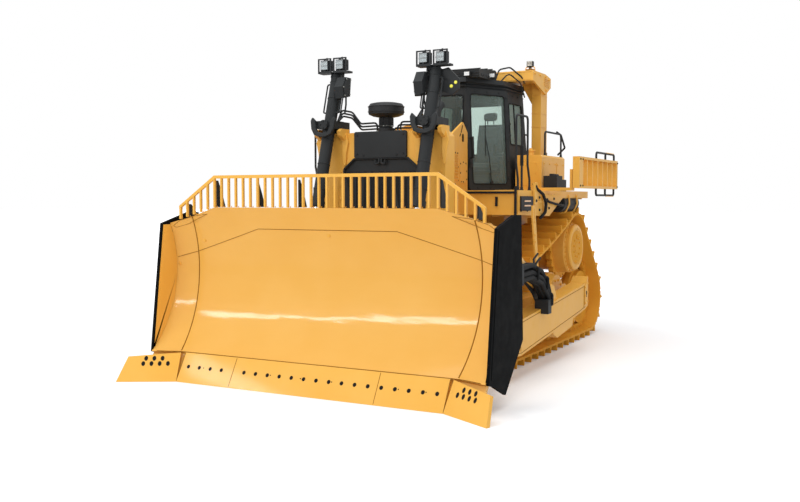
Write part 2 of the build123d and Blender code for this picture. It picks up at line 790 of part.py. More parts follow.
edge_joints = (-EDGE_HALF, -1150, 1100, EDGE_HALF)
edge_section = (
    (EDGE_Y, 0),
    (mold_bottom_y, MOLD_BOTTOM - GAP),
    (mold_bottom_y + edge_back.X * EDGE_THICK, MOLD_BOTTOM - GAP + edge_back.Y * EDGE_THICK),
    (EDGE_Y + EDGE_THICK / edge_back.X, 0),
)
with BuildPart() as cutting_edges:
    for start, end in zip(edge_joints, edge_joints[1:]):
        slab(edge_section, start + GAP / 2, end - GAP / 2)
save(cutting_edges, "cutting_edges")

bit_lean = Vector(0, mold_bottom_y - EDGE_Y, MOLD_BOTTOM)
bit_sweep = (EDGE_Y - TIP_Y) / (TIP_X - EDGE_HALF)
with BuildPart() as end_bits:
    for side, sign in SIDES:
        inner_foot = Vector(sign * (EDGE_HALF + GAP / 2), EDGE_Y, 0)
        outward = Vector(sign, -bit_sweep, 0)
        bit_plane = Plane(origin=inner_foot, x_dir=outward, z_dir=outward.cross(bit_lean) * sign)
        corners = (
            inner_foot,
            inner_foot + outward * (TIP_X - EDGE_HALF - 2),
            inner_foot + outward * (TIP_X - EDGE_HALF - 42) + bit_lean * 0.87,
            inner_foot + outward * 60 + bit_lean,
        )
        with BuildSketch(bit_plane):
            with BuildLine():
                Polyline(*[bit_plane.to_local_coords(corner) for corner in corners], close=True)
            make_face()
        extrude(amount=EDGE_THICK if bit_plane.z_dir.Y > 0 else -EDGE_THICK)
    block(-3000, 3000, -4500, -3000, -200, 0, mode=Mode.SUBTRACT)
save(end_bits, "end_bits")

rail_top = 2880
rail_shoulder = BLADE_SHOULDER + 10
rail_end = BLADE_HALF - 180
rail_drop = 2450
rail_y = -3255
rail_bar = 26
bar_pitch = 125
rail_wide = 44
with BuildPart() as rock_guard:
    with BuildSketch(Plane.XZ.offset(-rail_y)):
        with BuildLine():
            Polyline(
                (-rail_end, rail_drop - 190), (-rail_end, rail_drop), (-rail_shoulder, rail_top), (rail_shoulder, rail_top),
                (rail_end, rail_drop), (rail_end, rail_drop - 190), (rail_end - 34, rail_drop - 190),
                (rail_end - 34, rail_drop - 20), (rail_shoulder - 14, rail_top - rail_wide),
                (14 - rail_shoulder, rail_top - rail_wide), (34 - rail_end, rail_drop - 20),
                (34 - rail_end, rail_drop - 190), close=True,
            )
        make_face()
        for k in range(-18, 19):
            x = k * bar_pitch
            over = max(0, abs(x) - rail_shoulder) * (rail_top - rail_drop) / (rail_end - rail_shoulder)
            under = max(0, abs(x) - BLADE_SHOULDER) * (MOLD_TOP - WING_TOP) / (BLADE_HALF - BLADE_SHOULDER)
            low = MOLD_TOP - under + 4
            high = rail_top - over - rail_wide / 2
            with Locations((x, (low + high) / 2)):
                Rectangle(rail_bar, high - low)
    extrude(amount=36)
save(rock_guard, "rock_guard")

# ================================================================ push arms
arm_outline = (
    (-2640, 420),
    (-1500, 360),
    (1310, 660),
    (1560, 700),
    (1700, 740),
    (1700, 1235),
    (1560, 1130),
    (1310, 1105),
    (-1600, 855),
    (-2640, 800),
)
post_outline = (               # upright that carries the hoses to the tilt cylinder
    (-250, 1180),
    (-120, 1180),
    (-140, 1500),
    (-290, 2300),
    (-320, 2450),
    (-420, 2450),
    (-410, 2250),
    (-240, 1480),
)
post_slot = ((-330, 2180), (-350, 2400), (-375, 2400), (-355, 2180))
for side, sign in SIDES:
    with BuildPart() as push_arm:
        slab(arm_outline, sign * ARM_INNER_X, sign * ARM_OUTER_X)
        slab(
            ((-2640, 430), (-2850, 450), (-2960, 520), (-2995, 600), (-2960, 690), (-2850, 760), (-2640, 790)),
            sign * (ARM_INNER_X + 10),
            sign * (ARM_OUTER_X - 10),
        )
        slab(
            ((-100, 480), (100, 400), (860, 490), (900, 610), (-80, 520)),
            sign * (ARM_INNER_X + 30),
            sign * (ARM_OUTER_X - 5),
        )
        for x in (TILT_X - 116, TILT_X + 72):
            slab(
                ((-420, 900), (120, 950), (60, 1120), (0, 1210), (-120, 1250), (-230, 1210), (-300, 1110)),
                sign * x,
                sign * (x + ear_thick),
            )
        slab(post_outline, sign * (TILT_X - 116), sign * (TILT_X - 91))
        slab(post_slot, sign * (TILT_X - 120), sign * (TILT_X - 85), mode=Mode.SUBTRACT)
        barrel((sign * (TILT_X - 116), TILT_BASE_Y, TILT_BASE_Z), (sign * (TILT_X + 116), TILT_BASE_Y, TILT_BASE_Z), TILT_BASE_PIN)
        barrel(
            (sign * (ARM_INNER_X - 1), ARM_PIVOT_Y, ARM_PIVOT_Z),
            (sign * (ARM_TRUNNION_END + 5), ARM_PIVOT_Y, ARM_PIVOT_Z),
            ARM_TRUNNION_RADIUS + GAP,
            mode=Mode.SUBTRACT,
        )
        barrel(
            (sign * ARM_INNER_X, BLADE_PIN_Y, BLADE_PIN_Z),
            (sign * ARM_OUTER_X, BLADE_PIN_Y, BLADE_PIN_Z),
            BLADE_PIN_RADIUS + GAP,
            mode=Mode.SUBTRACT,
        )
    save(push_arm, f"{side}_push_arm")

# ================================================================ cylinders


def cylinder_barrel(origin, along, start, end, outer, bore, rod):
    """A hydraulic barrel, bored from near its closed end, with a gland at its mouth."""
    barrel(origin + along * start, origin + along * end, outer)
    barrel(origin + along * (end - 90), origin + along * end, outer + 14)
    barrel(origin + along * (start + 60), origin + along * (end - 80), bore, mode=Mode.SUBTRACT)
    barrel(origin + along * (end - 100), origin + along * (end + 1), rod + GAP, mode=Mode.SUBTRACT)


lift_pin = Vector(0, LIFT_PIN_Y, LIFT_PIN_Z)
trunnion = Vector(0, TRUNNION_Y, TRUNNION_Z)
lift_length = (lift_pin - trunnion).length
lift_along = (lift_pin - trunnion).normalized()
tilt_base = Vector(0, TILT_BASE_Y, TILT_BASE_Z)
tilt_pin = Vector(0, TILT_PIN_Y, TILT_PIN_Z)
tilt_length = (tilt_pin - tilt_base).length
tilt_along = (tilt_pin - tilt_base).normalized()
lamp_tilt = 4

yoke_room = LIFT_BARREL_RADIUS + 40       # the barrel leans in it as it swings
yoke_deep = yoke_room + 22
with BuildPart() as lift_mounts:
    for side, sign in SIDES:
        centre = trunnion + Vector(sign * LIFT_X, 0, 0)
        block(
            sign * (LIFT_X - YOKE_HALF), sign * (LIFT_X + YOKE_HALF),
            TRUNNION_Y - yoke_deep, TRUNNION_Y + yoke_deep, TRUNNION_Z - 60, TRUNNION_Z + 60,
        )
        barrel(centre - (0, yoke_deep, 0), centre - (0, yoke_deep + 35, 0), 72)
        block(
            sign * (LIFT_X - 130), sign * (LIFT_X + 130),
            TRUNNION_Y + yoke_deep - 5, -1300, GUARD_TOP + GAP, TRUNNION_Z + 60,
        )
        block(
            sign * (LIFT_X - 100), sign * (LIFT_X + 100),
            TRUNNION_Y - yoke_room, TRUNNION_Y + yoke_room, TRUNNION_Z - 80, TRUNNION_Z + 80, mode=Mode.SUBTRACT,
        )
        barrel(centre - (YOKE_HALF + 20, 0, 0), centre + (YOKE_HALF + 20, 0, 0), TRUNNION_PIN_RADIUS + GAP, mode=Mode.SUBTRACT)
save(lift_mounts, "lift_mounts")

lamp_x = 135                   # from a cylinder's middle to each of its two lamps
lamp_half = 82
lamp_low = 4495
lamp_high = 4655
for side, sign in SIDES:
    across = Vector(sign, 0, 0)
    centre = trunnion + across * LIFT_X
    with BuildPart() as lift_cylinder:
        barrel(centre - (YOKE_HALF, 0, 0), centre + (YOKE_HALF, 0, 0), TRUNNION_PIN_RADIUS)
        cylinder_barrel(centre, lift_along, -LIFT_ABOVE, LIFT_BELOW, LIFT_BARREL_RADIUS, LIFT_BORE_RADIUS, LIFT_ROD_RADIUS)
    save(lift_cylinder, f"{side}_lift_cylinder")

    cap = centre - lift_along * LIFT_ABOVE
    inner_x = LIFT_X - LIFT_BARREL_RADIUS - 12
    with BuildPart() as lift_lamps:
        barrel(cap - lift_along * GAP, cap - lift_along * 30, LIFT_BARREL_RADIUS + 8)
        block(sign * LIFT_X - 70, sign * LIFT_X + 70, cap.Y - 60, cap.Y + 20, cap.Z + 20, lamp_low - 15)
        block(sign * LIFT_X - 260, sign * LIFT_X + 260, cap.Y - 70, cap.Y + 30, lamp_low - 40, lamp_low - 12)
        for x in (sign * LIFT_X - lamp_x, sign * LIFT_X + lamp_x):
            block(x - lamp_half, x + lamp_half, cap.Y - 120, cap.Y - 20, lamp_low, lamp_high)
            block(x - 20, x + 20, cap.Y - 70, cap.Y - 30, lamp_low - 20, lamp_low + 10)
            block(x - 115, x + 115, cap.Y - 150, cap.Y - 130, lamp_low - 25, lamp_high + 25)
            block(x - 97, x + 97, cap.Y - 160, cap.Y - 120, lamp_low - 7, lamp_high + 7, mode=Mode.SUBTRACT)
            block(x - 115, x + 115, cap.Y - 150, cap.Y - 60, lamp_low - 40, lamp_low - 22)
            block(x - 70, x + 70, cap.Y - 150, cap.Y - 110, lamp_low + 10, lamp_high - 10)
            block(x - 12, x + 12, cap.Y - 150, cap.Y - 120, lamp_low - 10, lamp_high + 15)
        slab(
            (
                (cap.Y - 60, lamp_low - 30),
                (cap.Y + 20, lamp_low - 30),
                (cap.Y - 20, 4180),
                (cap.Y - 90, 4180),
            ),
            sign * inner_x,
            sign * (inner_x - 20),
        )
        slab(
            (
                (cap.Y - 210, 4060),
                (cap.Y - 250, 4230),
                (cap.Y - 150, 4380),
                (cap.Y + 10, 4380),
                (cap.Y - 20, 4100),
            ),
            sign * inner_x,
            sign * (inner_x - 140),
        )
    save(lift_lamps, f"{side}_lift_lamps")

    with BuildPart() as lift_rod:
        barrel(centre + lift_along * LIFT_ROD_START, centre + lift_along * (lift_length - 90), LIFT_ROD_RADIUS)
        barrel(centre + lift_along * LIFT_ROD_START, centre + lift_along * (LIFT_ROD_START + 90), LIFT_BORE_RADIUS - GAP)
        eye = centre + lift_along * lift_length
        barrel(eye - (EYE_HALF, 0, 0), eye + (EYE_HALF, 0, 0), 118)
    save(lift_rod, f"{side}_lift_rod")

    base = tilt_base + across * TILT_X
    with BuildPart() as tilt_cylinder:
        barrel(base - (EYE_HALF, 0, 0), base + (EYE_HALF, 0, 0), 120)
        barrel(base + tilt_along * 60, base + tilt_along * 400, 70)
        cylinder_barrel(base, tilt_along, TILT_START, TILT_MOUTH, TILT_BARREL_RADIUS, TILT_BORE_RADIUS, TILT_ROD_RADIUS)
        barrel(base - (EYE_HALF + 1, 0, 0), base + (EYE_HALF + 1, 0, 0), TILT_BASE_PIN + GAP, mode=Mode.SUBTRACT)
    save(tilt_cylinder, f"{side}_tilt_cylinder")

    with BuildPart() as tilt_rod:
        top = base + tilt_along * tilt_length
        barrel(base + tilt_along * TILT_ROD_START, top - tilt_along * 90, TILT_ROD_RADIUS)
        barrel(base + tilt_along * TILT_ROD_START, base + tilt_along * (TILT_ROD_START + 80), TILT_BORE_RADIUS - GAP)
        barrel(top - (EYE_HALF, 0, 0), top + (EYE_HALF, 0, 0), 112)
        barrel(top - (EYE_HALF + 1, 0, 0), top + (EYE_HALF + 1, 0, 0), TILT_TOP_PIN + EYE_PLAY, mode=Mode.SUBTRACT)
    save(tilt_rod, f"{side}_tilt_rod")

# ================================================================ fenders, tanks and deck
DECK_FRONT_Y = -620
DECK_REAR_Y = 2960
CASE_TOP = 2250
TANK_INNER_X = 880
TANK_OUTER_X = 1360
TANK_FRONT_Y = 1680
TANK_REAR_Y = 2940
TANK_TOP = 3310
POST_INNER_X = 860
POST_FRONT_Y = 2540
POST_REAR_Y = 2870
FOOT_OUTER_X = 1110
FUEL_HALF = 820
FUEL_FRONT_Y = 2760
FUEL_REAR_Y = 3960
FUEL_TOP = 3350
LADDER_X = 2250                # inner face of the access ladder, when it is up
LADDER_PIVOT_Y = 700
LADDER_PIVOT_Z = 2970
LADDER_PIN = 30
LADDER_WIDE = 110
LADDER_REAR_Y = 2900
LADDER_LOW = 2720
LADDER_HIGH = 3220
skirt_thick = 16
under_deck = DECK_TOP - DECK_THICK
skirt_x = FENDER_OUTER_X - skirt_thick
skirt_outline = (
    (DECK_FRONT_Y, 2310),
    (810, 2270),
    (1180, 2430),
    (1500, 2560),
    (DECK_REAR_Y, 2560),
    (DECK_REAR_Y, under_deck),
    (DECK_FRONT_Y, under_deck),
)


def beside_hood(y):
    """Half width of the gap that a fender leaves for the hood."""
    return HOOD_FRONT_HALF - hood_taper * (y - hood_front) + 2


for side, sign in SIDES:
    deck_corners = (
        (beside_hood(DECK_FRONT_Y), DECK_FRONT_Y),
        (beside_hood(HOOD_REAR_Y), HOOD_REAR_Y),
        (CAB_HALF + GAP, HOOD_REAR_Y),
        (CAB_HALF + GAP, DECK_REAR_Y),
        (FENDER_OUTER_X, DECK_REAR_Y),
        (FENDER_OUTER_X, DECK_FRONT_Y),
    )
    with BuildPart() as fender:
        with BuildSketch(Plane.XY.offset(under_deck)):
            with BuildLine():
                Polyline(*[(sign * x, y) for x, y in deck_corners], close=True)
            make_face()
        extrude(amount=DECK_THICK)
        slab(skirt_outline, sign * skirt_x, sign * FENDER_OUTER_X)
        block(
            sign * beside_hood(DECK_FRONT_Y), sign * skirt_x, DECK_FRONT_Y, DECK_FRONT_Y + skirt_thick, 2310, under_deck
        )
        for y in (900, 1700, 2600):
            block(sign * (CAB_HALF + GAP), sign * skirt_x, y, y + 60, 2540, under_deck)
        block(sign * beside_hood(-300), sign * skirt_x, -300, -220, 2540, under_deck)
        if side == "left":
            block(1600, LADDER_X - 20, LADDER_PIVOT_Y - 60, LADDER_PIVOT_Y + 60, DECK_TOP - 1, DECK_TOP + 50)
            slab(
                (
                    (LADDER_PIVOT_Y - 60, DECK_TOP),
                    (LADDER_PIVOT_Y + 60, DECK_TOP),
                    (LADDER_PIVOT_Y + 60, LADDER_PIVOT_Z + 50),
                    (LADDER_PIVOT_Y - 60, LADDER_PIVOT_Z + 50),
                ),
                LADDER_X - 60,
                LADDER_X - 20,
            )
            barrel(
                (LADDER_X - 30, LADDER_PIVOT_Y, LADDER_PIVOT_Z),
                (LADDER_X + LADDER_WIDE, LADDER_PIVOT_Y, LADDER_PIVOT_Z),
                LADDER_PIN,
            )
    save(fender, f"{side}_fender")

with BuildPart() as side_tanks:
    for side, sign in SIDES:
        tank_corners = (
            (TANK_INNER_X, TANK_FRONT_Y),
            (TANK_OUTER_X, TANK_FRONT_Y),
            (TANK_OUTER_X, TANK_REAR_Y),
            (FOOT_OUTER_X + 10, TANK_REAR_Y),
            (FOOT_OUTER_X + 10, POST_FRONT_Y - 30),
            (TANK_INNER_X, POST_FRONT_Y - 30),
        )
        with BuildSketch(Plane.XY.offset(DECK_TOP + GAP)):
            with BuildLine():
                Polyline(*[(sign * x, y) for x, y in tank_corners], close=True)
            make_face()
        extrude(amount=TANK_TOP - DECK_TOP - GAP)
        barrel((sign * 1080, 1900, TANK_TOP), (sign * 1080, 1900, TANK_TOP + 70), 60)
    chamfer(side_tanks.edges().filter_by(Axis.Y).group_by(Axis.Z)[-1], 30)
save(side_tanks, "side_tanks")

rung_count = 7
rung_pitch = 300
with BuildPart() as ladder:
    for low in (LADDER_LOW, LADDER_HIGH - 40):
        block(LADDER_X, LADDER_X + LADDER_WIDE, LADDER_PIVOT_Y - 100, LADDER_REAR_Y, low, low + 40)
    for rung in range(rung_count):
        y = LADDER_PIVOT_Y + 350 + rung * rung_pitch
        block(LADDER_X + 5, LADDER_X + LADDER_WIDE - 5, y - 16, y + 16, LADDER_LOW + 20, LADDER_HIGH - 20)
    block(LADDER_X, LADDER_X + LADDER_WIDE, LADDER_PIVOT_Y - 100, LADDER_PIVOT_Y + 100, LADDER_LOW, LADDER_HIGH)
    block(LADDER_X, LADDER_X + LADDER_WIDE, LADDER_REAR_Y - 30, LADDER_REAR_Y, LADDER_LOW, LADDER_HIGH)
    for base, out in ((LADDER_HIGH - 10, 130), (LADDER_LOW + 10, -130)):
        tube(
            (
                (LADDER_X + 55, LADDER_REAR_Y - 620, base),
                (LADDER_X + 55, LADDER_REAR_Y - 620, base + out),
                (LADDER_X + 55, LADDER_REAR_Y - 60, base + out),
                (LADDER_X + 55, LADDER_REAR_Y - 60, base),
            ),
            50,
            14,
        )
    barrel(
        (LADDER_X - 1, LADDER_PIVOT_Y, LADDER_PIVOT_Z),
        (LADDER_X + LADDER_WIDE + 1, LADDER_PIVOT_Y, LADDER_PIVOT_Z),
        LADDER_PIN + GAP,
        mode=Mode.SUBTRACT,
    )
save(ladder, "ladder")

RAIL_TUBE = 17
RAIL_X = 1770
with BuildPart() as handrails:
    for side, sign in SIDES:
        rail_x = sign * RAIL_X
        tube(
            (
                (rail_x, -560, DECK_TOP + GAP),
                (rail_x, -560, DECK_TOP + 160),
                (rail_x, -640, DECK_TOP + 400),
                (rail_x, -640, 3800),
                (rail_x, -150, 3800),
                (rail_x, -150, DECK_TOP + 400),
                (rail_x, -60, DECK_TOP + 160),
                (rail_x, -60, DECK_TOP + GAP),
            ),
            60,
            RAIL_TUBE,
        )
        barrel((rail_x, -400, DECK_TOP + GAP), (rail_x, -400, 3800), RAIL_TUBE)
        tube(
            (
                (sign * 1300, 2010, TANK_TOP + GAP),
                (sign * 1300, 2010, TANK_TOP + 420),
                (sign * 1300, 2900, TANK_TOP + 420),
                (sign * 1300, 2900, TANK_TOP + GAP),
            ),
            60,
            RAIL_TUBE,
        )
save(handrails, "handrails")

with BuildPart() as cab_base:
    block(-CAB_HALF, CAB_HALF, CAB_FRONT_Y - 20, FUEL_FRONT_Y - 60, CASE_TOP + GAP, DECK_TOP)
save(cab_base, "cab_base")

with BuildPart() as fuel_tank:
    slab(
        (
            (FUEL_FRONT_Y, CASE_TOP + GAP),
            (3310, CASE_TOP + GAP),
            (3660, 1910),
            (3900, 1910),
            (FUEL_REAR_Y, 2010),
            (FUEL_REAR_Y, FUEL_TOP - 200),
            (FUEL_REAR_Y - 260, FUEL_TOP),
            (FUEL_FRONT_Y, FUEL_TOP),
        ),
        -FUEL_HALF,
        FUEL_HALF,
    )
    barrel((-400, 3300, FUEL_TOP), (-400, 3300, FUEL_TOP + 70), 90)
save(fuel_tank, "fuel_tank")

# ================================================================ roll-over frame
ROPS_HALF = 1050
ROPS_TOP = 4820
ROPS_BOX_FRONT_Y = 2030
ROPS_BOX_REAR_Y = 2990
ROPS_BOX_LOW = 4640
end_plate = (
    (ROPS_BOX_FRONT_Y, ROPS_BOX_LOW),
    (ROPS_BOX_FRONT_Y, ROPS_TOP),
    (ROPS_BOX_REAR_Y - 300, ROPS_TOP),
    (ROPS_BOX_REAR_Y, ROPS_TOP - 50),
    (ROPS_BOX_REAR_Y, ROPS_BOX_LOW - 40),
    (2710, 4450),
)
with BuildPart() as rops:
    slab(
        (
            (ROPS_BOX_FRONT_Y, ROPS_BOX_LOW),
            (ROPS_BOX_FRONT_Y, ROPS_TOP),
            (ROPS_BOX_REAR_Y - 300, ROPS_TOP),
            (ROPS_BOX_REAR_Y, ROPS_TOP - 50),
            (ROPS_BOX_REAR_Y, ROPS_BOX_LOW),
        ),
        -ROPS_HALF,
        ROPS_HALF,
    )
    for sign in (1, -1):
        block(sign * POST_INNER_X, sign * (ROPS_HALF - 15), POST_FRONT_Y, POST_REAR_Y, DECK_TOP + GAP, ROPS_BOX_LOW)
        block(sign * (POST_INNER_X - 10), sign * FOOT_OUTER_X, POST_FRONT_Y - 20, POST_REAR_Y + 60, DECK_TOP + GAP, DECK_TOP + 60)
        slab(end_plate, sign * (ROPS_HALF - 15), sign * (ROPS_HALF + 15))
        with BuildSketch(Plane.XZ.offset(-POST_FRONT_Y - 120)):
            with BuildLine():
                Polyline((sign * POST_INNER_X, 4240), (sign * POST_INNER_X, ROPS_BOX_LOW), (sign * (POST_INNER_X - 220), ROPS_BOX_LOW), close=True)
            make_face()
        extrude(amount=60)
save(rops, "rops")

with BuildPart() as beacon:
    block(880, 1010, 2150, 2270, ROPS_TOP + GAP, ROPS_TOP + 30)
    block(925, 965, 2190, 2230, ROPS_TOP + 20, ROPS_TOP + 90)
    block(890, 1000, 2170, 2250, ROPS_TOP + 80, ROPS_TOP + 180)
save(beacon, "roof_lamp")

# ================================================================ cab
cab_low = DECK_TOP + GAP
shell_half = CAB_HALF - 55     # outer face of the straight sides at the floor
seam = (CAB_NOSE_HALF - 20, CAB_FRONT_Y + 50)      # front foot of a door's wall
corner = (shell_half, CAB_CORNER_Y)
wall_run = Vector(corner[0] - seam[0], corner[1] - seam[1])
door_facing = Vector(wall_run.Y, -wall_run.X).normalized()
lean_angle = atan2(CAB_LEAN, CAB_ROOF - cab_low)
door_low = 10
door_high = 1740
door_edge = 10                 # from the wall's front foot to the door
hinge_out = DOOR_GAP + 18
hinge_behind = 20
hinge_heights = (300, 1250)
round_corner = 70


def lean_plane(foot, facing, across, out=0):
    """A wall's outer plane: it leans inwards, its X runs across it and its Y up it."""
    normal = Vector(facing.X * cos(lean_angle), facing.Y * cos(lean_angle), sin(lean_angle))
    return Plane(origin=Vector(*foot, cab_low) + normal * out, x_dir=(across.X, across.Y, 0), z_dir=normal)


def door_wall(sign, out=0):
    """A door's wall: its X runs forwards from the rear corner on the left, backwards on the right."""
    foot = (sign * corner[0], corner[1])
    facing = Vector(sign * door_facing.X, door_facing.Y)
    across = Vector(-sign * wall_run.X, -wall_run.Y).normalized() * -sign
    return lean_plane(foot, facing, across, out)


def hinge_point(sign, height):
    """A point on a door's hinge line."""
    return door_wall(sign, hinge_out).from_local_coords((sign * hinge_behind, height, 0))


def side_wall(sign, out=0):
    """A straight side: its X runs rearwards on the left, forwards on the right."""
    return lean_plane((sign * shell_half, CAB_CORNER_Y), Vector(sign, 0), Vector(0, sign), out)


def cab_solid(inset):
    """The cab's outer shape, or its inside when inset by the wall."""
    with BuildPart() as solid:
        with BuildSketch(Plane.XY.offset(cab_low + inset)):
            with BuildLine():
                Polyline(
                    (-seam[0], seam[1]), seam, corner, (shell_half, CAB_REAR_Y),
                    (-shell_half, CAB_REAR_Y), (-corner[0], corner[1]), close=True,
                )
            make_face()
            offset(amount=-inset, kind=Kind.INTERSECTION)
        extrude(amount=CAB_ROOF - cab_low - 2 * inset, taper=degrees(lean_angle))
    return solid.part


wall_length = wall_run.length
front_wall = lean_plane((0, seam[1]), Vector(0, -1), Vector(1, 0))
rear_wall = lean_plane((0, CAB_REAR_Y), Vector(0, 1), Vector(-1, 0))
panes = (                      # wall plane, left, right, bottom, top on that wall
    (front_wall, -240, 240, 560, 1640),
    (rear_wall, -560, 560, 700, 1600),
    (side_wall(1), 170, 800, 830, 1560),
    (side_wall(-1), -800, -170, 830, 1560),
)


def rounded(left, right, low, high, radius=round_corner, shrink=0, mode=Mode.ADD):
    """An outline with round corners on a wall."""
    with Locations(((left + right) / 2, (low + high) / 2)):
        RectangleRounded(right - left - 2 * shrink, high - low - 2 * shrink, radius - shrink, mode=mode)


with BuildPart() as cab_shell:
    add(cab_solid(0))
    add(cab_solid(CAB_WALL), mode=Mode.SUBTRACT)
    for wall, left, right, low, high in panes:
        with BuildSketch(wall.offset(40)):
            rounded(left, right, low, high)
        extrude(amount=-140, mode=Mode.SUBTRACT)
    for sign in (1, -1):
        near, far = sorted((sign * -(wall_length - 75), sign * -75))
        with BuildSketch(door_wall(sign, 40)):
            rounded(near, far, 60, door_high - 50)
        extrude(amount=-140, mode=Mode.SUBTRACT)
        for h in hinge_heights:
            with BuildSketch(door_wall(sign, -25)):
                with Locations((sign * hinge_behind, h + 76)):
                    Rectangle(26, 46)
            extrude(amount=25 + hinge_out + 14)
            barrel(hinge_point(sign, h + 90), hinge_point(sign, h - 8), HINGE_PIN)
save(cab_shell, "cab_shell")

with BuildPart() as cab_glass:
    for wall, left, right, low, high in panes:
        with BuildSketch(wall.offset(-14)):
            rounded(left, right, low, high, shrink=GAP)
        extrude(amount=-GLASS_THICK)
save(cab_glass, "cab_glass")

for side, sign in SIDES:
    near, far = sorted((sign * -(wall_length - door_edge), sign * -4))
    with BuildPart() as door:
        with BuildSketch(door_wall(sign, DOOR_GAP)):
            rounded(near, far, door_low, door_high, 60)
            rounded(near + 85, far - 85, door_low + 110, door_high - 90, mode=Mode.SUBTRACT)
        extrude(amount=DOOR_THICK)
        for h in hinge_heights:
            with BuildSketch(door_wall(sign, hinge_out - 13)):
                with Locations((sign * (hinge_behind - 19) / 2, h + 22)):
                    Rectangle(hinge_behind + 45, 46)
            extrude(amount=26)
            barrel(hinge_point(sign, h - 3), hinge_point(sign, h + 47), HINGE_PIN + GAP, mode=Mode.SUBTRACT)
        handle_at = sign * -(wall_length - 60)
        for h in (560, 900):
            with BuildSketch(door_wall(sign, DOOR_GAP + DOOR_THICK)):
                with Locations((handle_at, h)):
                    Circle(14)
            extrude(amount=75)
        with BuildSketch(door_wall(sign, DOOR_GAP + DOOR_THICK + 55)):
            with Locations((handle_at, 730)):
                RectangleRounded(28, 368, 13)
        extrude(amount=28)
    save(door, f"{side}_door")

    with BuildPart() as door_glass:
        with BuildSketch(door_wall(sign, DOOR_GAP + 18)):
            rounded(near + 85, far - 85, door_low + 110, door_high - 90, shrink=GAP)
        extrude(amount=GLASS_THICK)
    save(door_glass, f"{side}_door_glass")

roof_half = shell_half - CAB_LEAN + 30
with BuildPart() as cab_roof:
    with BuildSketch(Plane.XY.offset(CAB_ROOF + GAP)):
        with BuildLine():
            Polyline(
                (-340, CAB_FRONT_Y + 30), (340, CAB_FRONT_Y + 30), (roof_half, CAB_CORNER_Y - 60), (roof_half, CAB_REAR_Y - 60),
                (-roof_half, CAB_REAR_Y - 60), (-roof_half, CAB_CORNER_Y - 60), close=True,
            )
        make_face()
    extrude(amount=80, taper=15)
    slab(
        ((CAB_FRONT_Y + 80, CAB_ROOF + 70), (CAB_FRONT_Y + 60, CAB_ROOF + 200), (1500, CAB_ROOF + 260), (1560, CAB_ROOF + 240), (1560, CAB_ROOF + 70)),
        -340,
        560,
    )
save(cab_roof, "cab_roof")

SEAT_X = 110
SEAT_Y = 2020
with BuildPart() as operator_seat:
    block(SEAT_X - 230, SEAT_X + 230, SEAT_Y - 180, SEAT_Y + 220, cab_low + CAB_WALL + GAP, 3050)
    slab(
        ((SEAT_Y - 300, 3050), (SEAT_Y + 260, 3050), (SEAT_Y + 260, 3180), (SEAT_Y - 240, 3200), (SEAT_Y - 300, 3160)),
        SEAT_X - 270,
        SEAT_X + 270,
    )
    slab(
        ((SEAT_Y + 180, 3180), (SEAT_Y + 320, 3180), (SEAT_Y + 430, 3920), (SEAT_Y + 330, 3930), (SEAT_Y + 240, 3680)),
        SEAT_X - 260,
        SEAT_X + 260,
    )
    slab(((SEAT_Y + 350, 3910), (SEAT_Y + 400, 3910), (SEAT_Y + 410, 3980), (SEAT_Y + 360, 3980)), SEAT_X - 60, SEAT_X + 60)
    slab(((SEAT_Y + 320, 3970), (SEAT_Y + 430, 3960), (SEAT_Y + 440, 4150), (SEAT_Y + 340, 4160)), SEAT_X - 150, SEAT_X + 150)
    for sign in (1, -1):
        block(SEAT_X + sign * 290, SEAT_X + sign * 390, SEAT_Y - 280, SEAT_Y + 250, 3300, 3380)
        block(SEAT_X + sign * 300, SEAT_X + sign * 380, SEAT_Y + 150, SEAT_Y + 230, 3130, 3300)
        block(SEAT_X + sign * 180, SEAT_X + sign * 380, SEAT_Y + 150, SEAT_Y + 230, 3130, 3190)
save(operator_seat, "operator_seat")

with BuildPart() as dashboard:
    slab(
        ((960, cab_low + CAB_WALL + GAP), (1100, cab_low + CAB_WALL + GAP), (1130, 3150), (1210, 3250), (1060, 3420), (960, 3350)),
        -240,
        240,
    )
save(dashboard, "dashboard")
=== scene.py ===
import json
import math

import bmesh
import bpy
from mathutils import Matrix, Vector


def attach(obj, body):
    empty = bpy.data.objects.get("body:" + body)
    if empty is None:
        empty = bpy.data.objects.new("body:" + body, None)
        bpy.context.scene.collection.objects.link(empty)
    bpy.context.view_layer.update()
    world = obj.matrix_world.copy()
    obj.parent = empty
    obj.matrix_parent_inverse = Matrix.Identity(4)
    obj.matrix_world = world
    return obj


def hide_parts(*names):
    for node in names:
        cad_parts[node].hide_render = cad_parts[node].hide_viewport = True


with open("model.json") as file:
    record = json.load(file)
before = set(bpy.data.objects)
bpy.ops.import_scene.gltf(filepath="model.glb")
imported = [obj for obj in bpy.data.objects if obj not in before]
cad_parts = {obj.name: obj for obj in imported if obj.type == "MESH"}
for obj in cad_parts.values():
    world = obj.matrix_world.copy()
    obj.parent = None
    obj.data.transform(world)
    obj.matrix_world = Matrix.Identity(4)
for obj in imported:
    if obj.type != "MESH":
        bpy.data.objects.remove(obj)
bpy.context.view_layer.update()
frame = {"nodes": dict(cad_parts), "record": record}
steel = frame["nodes"]
SIDES = (("left", 1), ("right", -1))


# %% [markdown]
# A finish is a small tree of shader nodes. One helper adds a node with its settings and links, and
# another turns the hex colours that painters use into the linear values that Blender wants.
# %% Helpers for finishes
def linear(code):
    """An sRGB hex colour as linear red, green, blue and alpha."""
    parts = [int(code[k:k + 2], 16) / 255 for k in (1, 3, 5)]
    return [c / 12.92 if c <= 0.04045 else ((c + 0.055) / 1.055) ** 2.4 for c in parts] + [1.0]


def feed(tree, node, inputs):
    """Give a node's inputs their values, or the sockets that feed them."""
    for socket, value in inputs.items():
        if isinstance(value, bpy.types.NodeSocket):
            tree.links.new(value, node.inputs[socket])
        else:
            node.inputs[socket].default_value = value


